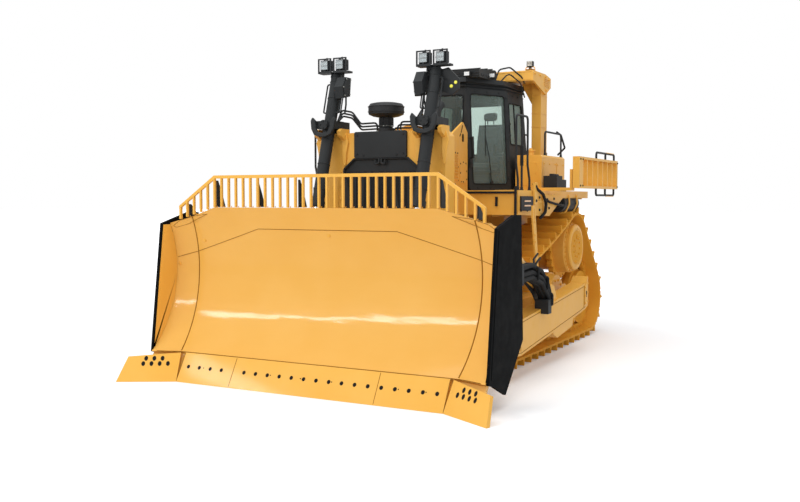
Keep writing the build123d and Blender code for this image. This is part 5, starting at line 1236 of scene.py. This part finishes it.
tube(bm, at_y(2.21, ((0.86, 4.8225), (0.86, 4.90), (1.03, 4.90), (1.03, 4.8225))), 0.008, bend=0.03)
finish_piece("beacon_bracket", bm, "root", yellow_enamel, soften=0.002)
bm = bmesh.new()
for z in (4.918, 4.940, 4.962, 4.984):
    block(bm, (0.897, 2.1655, z), (0.993, 2.1695, z + 0.012))
    block(bm, (0.897, 2.2505, z), (0.993, 2.2545, z + 0.012))
finish_piece("beacon_lens", bm, "root", frosted_lens)

# %% [markdown]
# A track is a loop of 41 shoes bolted to links. The pin line is two arcs round the idlers, one
# round the sprocket, a sagging upper run and straight runs between, so it is drawn once as a fine
# polyline and walked a shoe's pitch at a time. Geometry Nodes then set one unit on each stop,
# turned the way the line runs: the shoe's four bolts, its link's bosses and its pin ends.
# %% The line of the track pins
GAUGE, SHOES, PIN_RADIUS = 2.896, 41, 0.560
TRACK_X = GAUGE / 2
FRONT, REAR, DRIVE = (-1.190, 0.710), (3.270, 0.710), (2.340, 1.690)
SAG = math.radians(8.5)


def arc(centre, radius, start, sweep, steps):
    """Points round part of a circle."""
    turns = [start + sweep * k / steps for k in range(steps)]
    return [(centre[0] + radius * math.cos(a), centre[1] + radius * math.sin(a)) for a in turns]


rise = DRIVE[1] - FRONT[1]
upper = math.atan2(rise, DRIVE[0] - FRONT[0])
sag_end = 2 * upper - SAG
rear_drop = math.atan2(rise, REAR[0] - DRIVE[0])
sag_radius = math.hypot(rise, DRIVE[0] - FRONT[0]) / 2 / math.sin((sag_end - SAG) / 2)
sag_centre = (FRONT[0] - sag_radius * math.sin(SAG), FRONT[1] + sag_radius * math.cos(SAG))
quarter = math.pi / 2
loop = [(REAR[0] - (REAR[0] - FRONT[0]) * k / 200, FRONT[1] - PIN_RADIUS) for k in range(200)]
loop += arc(FRONT, PIN_RADIUS, -quarter, SAG - math.pi, 160)
loop += arc(sag_centre, sag_radius - PIN_RADIUS, SAG - quarter, sag_end - SAG, 200)
loop += arc(DRIVE, PIN_RADIUS, quarter + sag_end, -sag_end - rear_drop, 120)
turn_off = (DRIVE[0] + PIN_RADIUS * math.sin(rear_drop), DRIVE[1] + PIN_RADIUS * math.cos(rear_drop))
turn_on = (REAR[0] + PIN_RADIUS * math.sin(rear_drop), REAR[1] + PIN_RADIUS * math.cos(rear_drop))
run = (turn_on[0] - turn_off[0], turn_on[1] - turn_off[1])
loop += [(turn_off[0] + run[0] * k / 60, turn_off[1] + run[1] * k / 60) for k in range(60)]
loop += arc(REAR, PIN_RADIUS, quarter - rear_drop, rear_drop - math.pi, 160)
lengths = [math.dist(a, b) for a, b in zip(loop, loop[1:] + loop[:1])]
pitch = sum(lengths) / SHOES
print("track pitch", round(pitch, 4))


def along_loop(distance):
    """The point at a distance round the loop, and its direction."""
    for (a, b), length in zip(zip(loop, loop[1:] + loop[:1]), lengths):
        if distance <= length:
            t, way = distance / length, (b[0] - a[0], b[1] - a[1])
            return Vector((a[0] + way[0] * t, a[1] + way[1] * t)), Vector(way).normalized()
        distance -= length
    return Vector(loop[0]), Vector((-1, 0))


# %% [markdown]
# The second tree repeats one unit, which is a small loose mesh, at places that carry its turn.
# %% A tree that sets out one unit
def unit_tree():
    tree, given = new_tree("units_along_line", [
        ("Places", "Geometry"), ("Unit", "Object"), ("Size", "Float"), ("Finish", "Material")], "Units")
    unit = add(tree, "GeometryNodeObjectInfo", {"Object": given["Unit"]})
    turn = add(tree, "GeometryNodeInputNamedAttribute", {"Name": "turn"}, data_type="FLOAT_VECTOR")
    turned = add(tree, "FunctionNodeEulerToRotation", {"Euler": turn.outputs["Attribute"]})
    copies = add(tree, "GeometryNodeInstanceOnPoints", {
        "Points": given["Places"], "Instance": unit.outputs["Geometry"],
        "Rotation": turned.outputs["Rotation"], "Scale": given["Size"]})
    return hand_out(tree, copies, given["Finish"], "Units")


units_along = unit_tree()


def set_out(name, bm, stops, finish):
    """Repeat a drawn unit at stops, which are pairs of a point and a turn."""
    unit = put("unit", mesh_of("unit", bm))
    made = make_real(stops, "turn", units_along, {"Unit": unit, "Size": 1.0, "Finish": finish})
    made.name = name
    bpy.data.objects.remove(unit)
    return finish_piece(name, made, "root", None)


print("tree", units_along.name)

# %% [markdown]
# Each shoe shows four bolt heads and a wear pad at both ends, and each link its pin's end in a
# raised boss. One unit of either kind follows the pin line all the way round.
# %% Track fittings
def track_stops(x, shift=0.5):
    """A stop for each shoe of the track at this x: its point on the pin line and its turn."""
    walked = [along_loop((shoe + shift) * pitch) for shoe in range(SHOES)]
    return [(Vector((x, at.x, at.y)), (math.atan2(way.y, way.x), 0, 0)) for at, way in walked]


PLATE_TOP, PIN_REACH = 0.048, 0.130
for side, sign in SIDES:
    bm = bmesh.new()
    for x in (-0.095, 0.095):
        for y in (0.040, 0.115):
            rod(bm, (x, y, PLATE_TOP - 0.004), (x, y, PLATE_TOP + 0.020), 0.021, 6)
    for x in (-0.355, 0.355):
        inner = x + (0.09 if x < 0 else -0.09)
        pad = ((x, -0.02), (inner, -0.02), (inner, 0.13), (x, 0.13))
        plate(bm, [(x, y, PLATE_TOP - 0.001) for x, y in pad], (0, 0, 0.005))
    set_out(f"{side}_shoe_bolts", bm, track_stops(sign * TRACK_X), track_enamel)
    bm = bmesh.new()
    for x in (-1, 1):
        face = x * PIN_REACH
        rod(bm, (face, 0, 0), (face + x * 0.012, 0, 0), 0.052, 14)
        rod(bm, (face, 0, 0), (face + x * 0.020, 0, 0), 0.030, 12)
        link = ((-0.12, -0.060), (-0.03, -0.066), (0.06, -0.060), (0.11, 0.012), (-0.09, 0.014))
        plate(bm, at_x(face, link), (x * 0.006, 0, 0))
    rod(bm, (-0.060, 0, 0), (0.060, 0, 0), 0.036, 14)
    set_out(f"{side}_track_links", bm, track_stops(sign * TRACK_X, 0.0), track_enamel)

# %% [markdown]
# Rollers, idlers and final drives turn on sealed shafts. From outside one sees a bolted cap on each
# shaft, and guards that hang between the rollers.
# %% Roller and idler caps
SIDE_FACE, ROLLER_Z = 0.195, 0.370
for side, sign in SIDES:
    middle = sign * TRACK_X
    bm = bmesh.new()
    places = []
    for face in (-1, 1):
        x = middle + face * (SIDE_FACE + 0.0005)
        for k in range(8):
            y = -0.480 + 0.440 * k
            cap = (x + face * 0.022, y, ROLLER_Z)
            rod(bm, (x, y, ROLLER_Z), cap, 0.085, 24)
            rod(bm, cap, (x + face * 0.034, y, ROLLER_Z), 0.05, 20)
            places += ring(cap, (face, 0, 0), 0.067, 4, EIGHTH_TURN)
        for idler in (FRONT, REAR):
            cap = (x + face * 0.03, *idler)
            rod(bm, (x, *idler), cap, 0.14, 32)
            places += ring(cap, (face, 0, 0), 0.11, 6)
        for k in range(4):
            y = -0.26 + 0.88 * k
            guard = ((y - 0.14, 0.50), (y + 0.14, 0.50), (y + 0.09, 0.345), (y - 0.09, 0.345))
            plate(bm, at_x(x, guard), (face * 0.016, 0, 0))
            places += face_way((face, 0, 0), at_x(x + face * 0.016, ((y - 0.09, 0.47), (y + 0.09, 0.47))))
    finish_piece(f"{side}_roller_caps", bm, "root", track_enamel, soften=0.004)
    bolts(f"{side}_roller_bolts", "root", track_enamel, places, 0.013)

# %% [markdown]
# The final drive shows a bolted cover inside a ring of rim bolts, with its filler and drain plugs.
# The push arm's pivot has its own arc of bolts, and pads stand on top of the track frame.
# %% Final drives, pivots and pads
for side, sign in SIDES:
    middle, face = sign * TRACK_X, sign * (TRACK_X + 0.340)
    bm = bmesh.new()
    discs = (
        (DRIVE, 0.006, 0.30, 48), (DRIVE, 0.012, 0.10, 32),
        ((2.300, 1.44), 0.02, 0.022, 6), ((2.340, 1.90), 0.02, 0.022, 6))
    for spot, thick, radius, sides in discs:
        rod(bm, (face, *spot), (face + sign * thick, *spot), radius, sides)
    finish_piece(f"{side}_drive_plates", bm, "root", track_enamel, soften=0.003)
    places = ring((face + sign * 0.006, *DRIVE), (sign, 0, 0), 0.17, 10, 0.3)
    rim = ring((sign * (TRACK_X + 0.2655), *DRIVE), (sign, 0, 0), 0.427, 30)
    bolts(f"{side}_drive_bolts", "root", track_enamel, places, 0.017)
    bolts(f"{side}_rim_bolts", "root", track_enamel, rim, 0.012)
    boss = sign * (TRACK_X + SIDE_FACE + 0.110)
    turns = [math.radians(d) for d in range(15, 180, 30)]
    arch = at_x(boss, [(1.35 + 0.30 * math.cos(a), 0.88 + 0.30 * math.sin(a)) for a in turns])
    bolts(f"{side}_pivot_bolts", "root", track_enamel, face_way((sign, 0, 0), arch), 0.020)
    bm = bmesh.new()
    for y in (-0.30, 0.25, 0.60):
        block(bm, (middle - 0.10, y - 0.07, 0.981), (middle + 0.10, y + 0.07, 1.052))
    block(bm, (sign * 1.60, -1.36, 0.66), (sign * 1.655, -1.31, 0.78))
    finish_piece(f"{side}_frame_pads", bm, "root", track_enamel, soften=0.006)

# %% [markdown]
# The decks are pressed with round anti-slip studs, so a boot grips in mud. They sit in a staggered
# grid on the open parts of each fender, and Geometry Nodes repeat one low stud, a cone of eight
# sides, over the lot.
# %% Deck studs
DECK = 2.680
BESIDE_HOOD, BESIDE_CAB = (26, 9, 1.395, -0.50), (11, 11, 0.93, 0.72)
for side, sign in SIDES:
    stops = []
    for rows, columns, x0, y0 in (BESIDE_HOOD, BESIDE_CAB):
        for r in range(rows):
            for c in range(columns):
                x, y = x0 + c * 0.042, y0 + r * 0.082 + (c % 2) * 0.041
                # The left deck stays bare where the step's bracket stands.
                if x0 == 0.93 or not 0.60 < y < 0.82 or sign < 0:
                    stops.append(((sign * x, y, DECK), (0, 0, 0)))
    bm = bmesh.new()
    rod(bm, (0, 0, -0.001), (0, 0, 0.005), 0.013, 8, tip=0.009)
    set_out(f"{side}_deck_studs", bm, stops, yellow_enamel)

# %% [markdown]
# The handrails stand in round feet, a brace tube runs down at the back, one rail has a rubber grip,
# and a light box with two amber bars hangs below the deck's edge.
# %% Handrails and step lamps
RAIL_X, SKIRT_X, DECK_SIDE = 1.770, 1.807, 1.801
rail_feet = (*grid(RAIL_X, (-0.56, -0.40, -0.06), DECK), *grid(1.300, (2.01, 2.90), 3.310))
rail_brace = ((1.30, 2.66, 3.76), (1.30, 2.90, 3.72), (1.28, 3.20, 3.50), (1.10, 3.34, 3.38))
for side, sign in SIDES:
    bm = bmesh.new()
    for x, y, z in rail_feet:
        rod(bm, (sign * x, y, z), (sign * x, y, z + 0.012), 0.032, 20)
        rod(bm, (sign * x, y, z + 0.012), (sign * x, y, z + 0.05), 0.022, 20)
    tube(bm, flip(sign, rail_brace), 0.018, bend=0.08, sides=10)
    finish_piece(f"{side}_rail_feet", bm, "root", black_enamel_painted_sheen, soften=0.002)
    bm = bmesh.new()
    rod(bm, (sign * RAIL_X, -0.40, 3.05), (sign * RAIL_X, -0.40, 3.34), 0.026, 20)
    tube(bm, [(sign * RAIL_X, -0.395, 3.52), (sign * RAIL_X, -0.155, 3.52)], 0.012)
    finish_piece(f"{side}_rail_grip", bm, "root", black_rubber)
    bm = bmesh.new()
    block(bm, (sign * 1.807, -0.57, 2.37), (sign * 1.835, -0.05, 2.59))
    finish_piece(f"{side}_step_lamp", bm, "root", black_plastic, soften=0.006)
    bm = bmesh.new()
    for z in (2.435, 2.505):
        block(bm, (sign * 1.835, -0.44, z), (sign * 1.841, -0.18, z + 0.022))
    finish_piece(f"{side}_step_lens", bm, "root", amber_lens)

# %% [markdown]
# Under the deck's edge run two black hoses, held by a post, a folded bracket and two bent straps.
# %% Skirt hoses and brackets
front_hose = (
    (1.80, 0.03, 2.79), (1.85, 0.08, 2.70), (1.87, 0.30, 2.62), (1.86, 0.48, 2.48), (1.86, 0.44, 2.34),
    (1.80, 0.36, 2.24))
rear_hose = ((1.815, 0.50, 2.56), (1.86, 0.62, 2.50), (1.86, 1.20, 2.44), (1.80, 1.54, 2.44))
folded = ((0.40, 2.62), (1.15, 2.62), (1.15, 2.50), (0.70, 2.30), (0.50, 2.30))
strap = ((1.815, 2.62), (1.83, 2.46), (1.76, 2.32), (1.66, 2.30))
for side, sign in SIDES:
    bm = bmesh.new()
    rod(bm, (sign * 1.775, -0.668, 2.30), (sign * 1.775, -0.668, 2.74), 0.020, 16)
    block(bm, (sign * 0.95, -0.655, 2.63), (sign * 1.74, -0.624, 2.662))
    block(bm, (sign * 1.44, -0.645, 2.44), (sign * 1.475, -0.624, 2.58))
    tube(bm, flip(sign, front_hose), 0.024, bend=0.08, sides=10)
    tube(bm, flip(sign, rear_hose), 0.020, bend=0.08, sides=10)
    finish_piece(f"{side}_skirt_hoses", bm, "root", black_rubber)
    bm = bmesh.new()
    block(bm, (sign * 1.807, -0.02, 2.46), (sign * 1.845, 0.12, 2.80))
    plate(bm, at_x(sign * SKIRT_X, folded), (sign * 0.02, 0, 0))
    for y in (1.78, 2.22):
        tube(bm, flip(sign, at_y(y, strap)), 0.016, bend=0.06, sides=8)
    finish_piece(f"{side}_skirt_brackets", bm, "root", yellow_enamel, soften=0.004)

# %% [markdown]
# The deck's side is closed by two bolted panels, the front one with a pull handle.
# %% Skirt panels
front_panel = ((-0.58, 2.34), (0.60, 2.32), (0.60, 2.60), (-0.58, 2.60))
rear_panel = ((1.20, 2.46), (1.50, 2.575), (2.85, 2.575), (2.85, 2.62), (1.20, 2.62))
pull = ((1.803, 0.16, 2.50), (1.85, 0.16, 2.50), (1.85, 0.32, 2.50), (1.803, 0.32, 2.50))
for side, sign in SIDES:
    bm = bmesh.new()
    for panel in (front_panel, rear_panel):
        plate(bm, at_x(sign * DECK_SIDE, panel), (sign * 0.006, 0, 0))
    tube(bm, flip(sign, pull), 0.010, bend=0.02)
    finish_piece(f"{side}_skirt_panels", bm, "root", yellow_enamel, soften=0.003)
    points = (
        *grid(sign * SKIRT_X, (-0.53, -0.25, 0.03, 0.30, 0.55), (2.375, 2.57)),
        *grid(sign * 1.8005, (0.75, 0.90, 1.05), 2.60),
        *at_x(sign * 1.827, ((0.56, 2.38), (0.70, 2.40), (0.62, 2.54), (0.95, 2.55))),
        *grid(sign * 1.845, 0.05, (2.52, 2.74)))
    bolts(f"{side}_skirt_bolts", "root", black_enamel_painted_sheen, face_way((sign, 0, 0), points), 0.018)

# %% [markdown]
# The left deck carries a stack of valves, with the ladder's pump under it. The right deck carries
# the batteries' locker.
# %% Valves, pump and locker
DECK_TOP, PUMP = 2.6805, (1.66, 2.47)
bm = bmesh.new()
block(bm, (1.48, 1.42, DECK_TOP), (1.72, 1.72, 2.94))
block(bm, (1.50, 1.76, DECK_TOP), (1.70, 2.00, 2.88))
rod(bm, (1.60, 1.52, 2.94), (1.60, 1.52, 2.975), 0.045, 20)
tube(bm, at_x(1.60, ((1.86, 2.88), (1.86, 2.96), (1.68, 2.96))), 0.016, bend=0.04)
finish_piece("valve_stack", bm, "root", black_plastic, soften=0.008)
bm = bmesh.new()
for y0, y1, radius, sides in ((1.60, 2.40, 0.15, 28), (1.55, 1.60, 0.09, 20), (2.40, 2.50, 0.11, 24)):
    rod(bm, (PUMP[0], y0, PUMP[1]), (PUMP[0], y1, PUMP[1]), radius, sides)
pipe = [(1.62, 2.38, 2.44), (1.70, 2.38, 2.36), (1.72, 2.20, 2.34), (1.70, 1.90, 2.36)]
tube(bm, pipe, 0.022, bend=0.05)
finish_piece("ladder_pump", bm, "root", black_enamel_painted_sheen, soften=0.006)
bm = bmesh.new()
block(bm, (-1.75, 1.70, DECK_TOP), (-1.42, 2.30, 2.98))
finish_piece("battery_locker", bm, "root", yellow_enamel, soften=0.012)
places = face_way((-1, 0, 0), grid(-1.751, (1.75, 2.25), (2.74, 2.93)))
bolts("locker_bolts", "root", black_enamel_painted_sheen, places, 0.012)

# %% [markdown]
# The side tanks stand beside the cab, each with bolted cover plates.
# %% Side tanks
for side, sign in SIDES:
    bm = bmesh.new()
    for y0, y1 in ((1.75, 2.42), (2.48, 2.88)):
        cover = at_x(sign * 1.3605, ((y0, 2.76), (y1, 2.76), (y1, 3.20), (y0, 3.20)))
        plate(bm, cover, (sign * 0.006, 0, 0))
    cover = at_y(1.6795, ((0.95, 2.78), (1.30, 2.78), (1.30, 3.20), (0.95, 3.20)))
    plate(bm, flip(sign, cover), (0, -0.006, 0))
    rod(bm, (sign * 1.08, 1.90, 3.38), (sign * 1.08, 1.90, 3.41), 0.075, 24)
    rod(bm, (sign * 1.08, 1.90, 3.41), (sign * 1.08, 1.90, 3.44), 0.03, 6)
    finish_piece(f"{side}_tank_covers", bm, "root", yellow_enamel, soften=0.003)
    places = face_way((sign, 0, 0), grid(sign * 1.3665, (1.79, 2.08, 2.38, 2.52, 2.84), (2.80, 3.16)))
    places += face_way((0, -1, 0), flip(sign, grid((0.99, 1.26), 1.6735, (2.82, 3.0, 3.16))))
    bolts(f"{side}_tank_bolts", "root", yellow_enamel, places, 0.013)

# %% [markdown]
# The fuel tank is closed at the back by one bolted plate. Thin straps run along its sides, and its
# filler cap is on top.
# %% Fuel tank
bm = bmesh.new()
plate(bm, at_y(3.9605, ((-0.70, 2.10), (0.70, 2.10), (0.70, 2.92), (-0.70, 2.92))), (0, 0.006, 0))
for x in (-0.815, 0.815):
    for z in (2.35, 2.75, 3.1):
        block(bm, (x - 0.010, 2.80, z - 0.02), (x + 0.010, 3.90, z + 0.02))
rod(bm, (-0.40, 3.30, 3.42), (-0.40, 3.30, 3.46), 0.105, 28)
finish_piece("fuel_tank_covers", bm, "root", yellow_enamel, soften=0.003)
places = face_way((0, 1, 0), grid((-0.66, -0.33, 0, 0.33, 0.66), 3.9665, (2.14, 2.88)))
places += face_way((0, 1, 0), grid((-0.66, 0.66), 3.9665, (2.39, 2.63)))
bolts("fuel_tank_bolts", "root", yellow_enamel, places, 0.014)

# %% [markdown]
# Two work lamps look back from the tank. The rear case has four round covers and two rows of bolts,
# and the drawbar holds its pin, which is pulled out by a loop.
# %% Rear lamps, covers and drawbar pin
lamps, lenses, bm = bmesh.new(), bmesh.new(), bmesh.new()
for sign in (1, -1):
    block(lamps, (sign * 0.60, 3.700, 3.3315), (sign * 0.74, 3.78, 3.45))
    block(lenses, (sign * 0.612, 3.779, 3.362), (sign * 0.728, 3.784, 3.438))
    for z in (1.15, 1.67):
        rod(bm, (sign * 0.55, 3.695, z), (sign * 0.55, 3.72, z), 0.10, 28)
finish_piece("rear_lamps", lamps, "root", black_plastic, soften=0.008)
finish_piece("rear_lamp_lenses", lenses, "root", led_cover)
rod(bm, (0, 4.06, 0.64), (0, 4.06, 0.91), 0.041, 24)
rod(bm, (0, 4.06, 0.895), (0, 4.06, 0.925), 0.07, 24)
tube(bm, at_y(4.06, ((0.03, 0.925), (0.03, 0.99), (-0.03, 0.99), (-0.03, 0.925))), 0.010, bend=0.02)
finish_piece("drawbar_pin", bm, "root", zinc_steel, soften=0.003)
places = face_way((0, 1, 0), grid((-0.3, -0.15, 0, 0.15, 0.3), 3.6505, (1.60, 1.80)))
bolts("rear_case_bolts", "root", yellow_enamel, places, 0.020)

# %% [markdown]
# The access ladder swings down on one pin. Its rungs are punched so that mud falls through, and
# it carries grip loops and bolts.
# %% Ladder fittings
bm = bmesh.new()
for k in range(7):
    rung = 1.05 + k * 0.300
    for z in (2.80, 2.88, 2.96, 3.04, 3.12):
        rod(bm, (2.32, rung - 0.018, z), (2.32, rung + 0.018, z), 0.014, 10)
finish_piece("rung_studs", bm, "ladder", yellow_enamel)
bm = bmesh.new()
for base, out in ((3.215, 0.115), (2.725, -0.115)):
    for front in (1.72, 2.28):
        grip = ((front, base), (front, base + out), (2.84, base + out), (2.84, base))
        tube(bm, at_x(2.305, grip), 0.018, bend=0.05)
finish_piece("ladder_grips", bm, "ladder", black_enamel_painted_sheen)
places = face_way((1, 0, 0), grid(2.361, (0.66, 0.78, 2.885), (2.76, 3.18)))
bolts("ladder_bolts", "ladder", black_enamel_painted_sheen, places, 0.012)

# %% [markdown]
# The operator's seat has sewn foam cushions over a moulded shell. Foam under cloth bulges between
# its seams, so each cushion starts a little small, is remeshed evenly and is blown up as cloth
# for twenty frames with a cap on how far it may swell. Channels are pressed in afterwards.
# %% Seat cushions
SEAT_X, SEAT_Y = 0.110, 2.020
SWELL_FRAMES = 20


def cushion(name, outline, x0, x1, voxel, cap, channels):
    """A foam cushion from its side outline, y and z, with sewn channels pressed in."""
    bm = bmesh.new()
    plate(bm, at_x(x0, outline), (x1 - x0, 0, 0))
    bmesh.ops.recalc_face_normals(bm, faces=bm.faces)
    bmesh.ops.bevel(bm, geom=bm.edges[:], offset=0.028, segments=3, affect="EDGES")
    work = put(name, mesh_of(name, bm))
    even = work.modifiers.new("grid", "REMESH")
    even.mode, even.voxel_size = "VOXEL", voxel
    work.data = baked(work)
    work.modifiers.clear()
    before = [v.co.copy() for v in work.data.vertices]
    foam = work.modifiers.new("cloth", "CLOTH").settings
    foam.quality, foam.use_pressure, foam.uniform_pressure_force = 5, True, 4
    foam.effector_weights.gravity = 0
    for step in range(1, SWELL_FRAMES + 1):
        bpy.context.scene.frame_set(step)
    blown = baked(work)
    work.modifiers.clear()
    for vertex, start in zip(blown.vertices, before):
        way = vertex.co - start
        vertex.co = start + way * min(1.0, cap / max(way.length, 1e-6))
    work.data = blown
    bpy.context.scene.frame_set(1)
    middle = sum((v.co for v in work.data.vertices), Vector()) / len(work.data.vertices)
    for vertex in work.data.vertices:
        for axis, at, deep in channels:
            near = math.exp(-((vertex.co[axis] - at) / 0.010) ** 2)
            side = vertex.co.x - middle.x
            if axis != 0 or abs(side) < (x1 - x0) * 0.47:
                pull = (middle - vertex.co)
                pull[axis] = 0
                vertex.co += pull.normalized() * near * deep
    fine = work.modifiers.new("fine", "SUBSURF")
    fine.levels = fine.render_levels = 1
    done = baked(work)
    bpy.data.objects.remove(work)
    piece = finish_piece(name, done, "root", seat_cloth)


base = [(SEAT_Y - 0.290, 3.065), (SEAT_Y + 0.235, 3.065), (SEAT_Y + 0.235, 3.165),
    (SEAT_Y - 0.20, 3.185), (SEAT_Y - 0.285, 3.150)]
cushion("seat_base_cushion", base, SEAT_X - 0.255, SEAT_X + 0.255, 0.010, 0.014,
    ((0, SEAT_X - 0.15, 0.008), (0, SEAT_X + 0.15, 0.008), (1, SEAT_Y - 0.05, 0.007)))
back = [(SEAT_Y + 0.20, 3.20), (SEAT_Y + 0.30, 3.20), (SEAT_Y + 0.405, 3.90), (SEAT_Y + 0.345, 3.90),
    (SEAT_Y + 0.255, 3.66)]
cushion("seat_back_cushion", back, SEAT_X - 0.24, SEAT_X + 0.24, 0.010, 0.014,
    ((0, SEAT_X - 0.14, 0.009), (0, SEAT_X + 0.14, 0.009), (2, 3.42, 0.008), (2, 3.66, 0.008)))
head = [(SEAT_Y + 0.335, 3.985), (SEAT_Y + 0.415, 3.975), (SEAT_Y + 0.425, 4.135), (SEAT_Y + 0.355, 4.145)]
cushion("seat_headrest", head, SEAT_X - 0.135, SEAT_X + 0.135, 0.008, 0.010,
    ((0, SEAT_X - 0.08, 0.006), (0, SEAT_X + 0.08, 0.006)))

# %% [markdown]
# Under the cushions are a bellows over the suspension, a moulded shell and two armrests with short
# levers. This hard frame stands in for the plain seat, with the cushions on it.
# %% Seat frame
def by_seat(x, y, z):
    """A point from its distances beside and behind the seat's middle, and its height."""
    return (SEAT_X + x, SEAT_Y + y, z)


bm = bmesh.new()
for k in range(6):
    z = 2.745 + k * 0.045
    wide = 0.20 if k % 2 else 0.225
    block(bm, by_seat(-wide, 0.02 - wide, z), by_seat(wide, wide, z + 0.045))
block(bm, by_seat(-0.268, -0.28, 3.01), by_seat(0.268, 0.255, 3.058))
shell = ((0.315, 3.19), (0.345, 3.19), (0.432, 3.92), (0.418, 3.92))
plate(bm, [by_seat(-0.25, y, z) for y, z in shell], (0.50, 0, 0))
for sign in (1, -1):
    rod(bm, by_seat(sign * 0.06, 0.39, 3.90), by_seat(sign * 0.06, 0.385, 4.0), 0.010, 12)
    block(bm, by_seat(sign * 0.295, -0.27, 3.31), by_seat(sign * 0.385, 0.24, 3.37))
    block(bm, by_seat(sign * 0.31, 0.155, 3.08), by_seat(sign * 0.37, 0.225, 3.31))
    block(bm, by_seat(sign * 0.20, 0.16, 3.04), by_seat(sign * 0.37, 0.22, 3.10))
    rod(bm, by_seat(sign * 0.34, -0.22, 3.37), by_seat(sign * 0.34, -0.235, 3.385), 0.03, 20, tip=0.02)
seat_frame = finish_piece("seat_frame", bm, "root", grey_plastic, soften=0.006)
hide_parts("operator_seat")
bm = bmesh.new()
for sign in (1, -1):
    x = sign * 0.34
    rod(bm, by_seat(x, -0.23, 3.38), by_seat(x, -0.25, 3.47), 0.014, 14, tip=0.018)
    rod(bm, by_seat(x, -0.25, 3.465), by_seat(x, -0.262, 3.52), 0.026, 16, tip=0.020)
finish_piece("seat_levers", bm, "root", black_rubber, soften=0.003)

# %% [markdown]
# In front of the seat stands the dash: a screen in a bezel, a row of gauges with bare dials, a
# switch panel and two foot pedals on the floor.
# %% Dash
bm, glass, pads = bmesh.new(), bmesh.new(), bmesh.new()
tilt = Vector((0, 0.15, -0.17)).normalized()
dash_out = Vector((0, 0.17, 0.15)).normalized()
top_edge = Vector((0, 1.10, 3.375))
for x, wide in ((-0.12, 0.075), (0.10, 0.11)):
    a = top_edge + Vector((x - wide, 0, 0)) + dash_out * 0.002
    b = a + Vector((2 * wide, 0, 0))
    plate(bm, [a, b, b + tilt * 0.13, a + tilt * 0.13], dash_out * 0.02)
    c = a + Vector((0.012, 0, 0)) + tilt * 0.012 + dash_out * 0.0205
    d = c + Vector((2 * wide - 0.024, 0, 0))
    plate(glass, [c, d, d + tilt * 0.106, c + tilt * 0.106], dash_out * 0.002)
for k in range(7):
    at = Vector((-0.18 + k * 0.06, 1.128, 3.12))
    rod(bm, at, at + Vector((0, 0.02, 0)), 0.016, 16)
for x in (-0.14, 0.14):
    left, right = x - 0.05, x + 0.05
    pad = [(left, 1.22, 2.80), (right, 1.22, 2.80), (right, 1.32, 2.87), (left, 1.32, 2.87)]
    plate(pads, pad, (0, 0.012, -0.016))
    rod(pads, (x, 1.10, 2.78), (x, 1.27, 2.83), 0.010, 10)
finish_piece("dash_bezels", bm, "root", grey_plastic, soften=0.003)
finish_piece("dash_screens", glass, "root", near_black_and_hole_shade)
finish_piece("pedals", pads, "root", zinc_steel, soften=0.003)
bm = bmesh.new()
block(bm, (-0.62, 1.75, 2.735), (-0.42, 2.45, 3.25))
block(bm, (0.56, 1.75, 2.735), (0.70, 2.45, 3.20))
block(bm, (-0.60, 2.47, 2.735), (0.60, 2.56, 3.35))
finish_piece("cab_consoles", bm, "root", grey_plastic, soften=0.015)
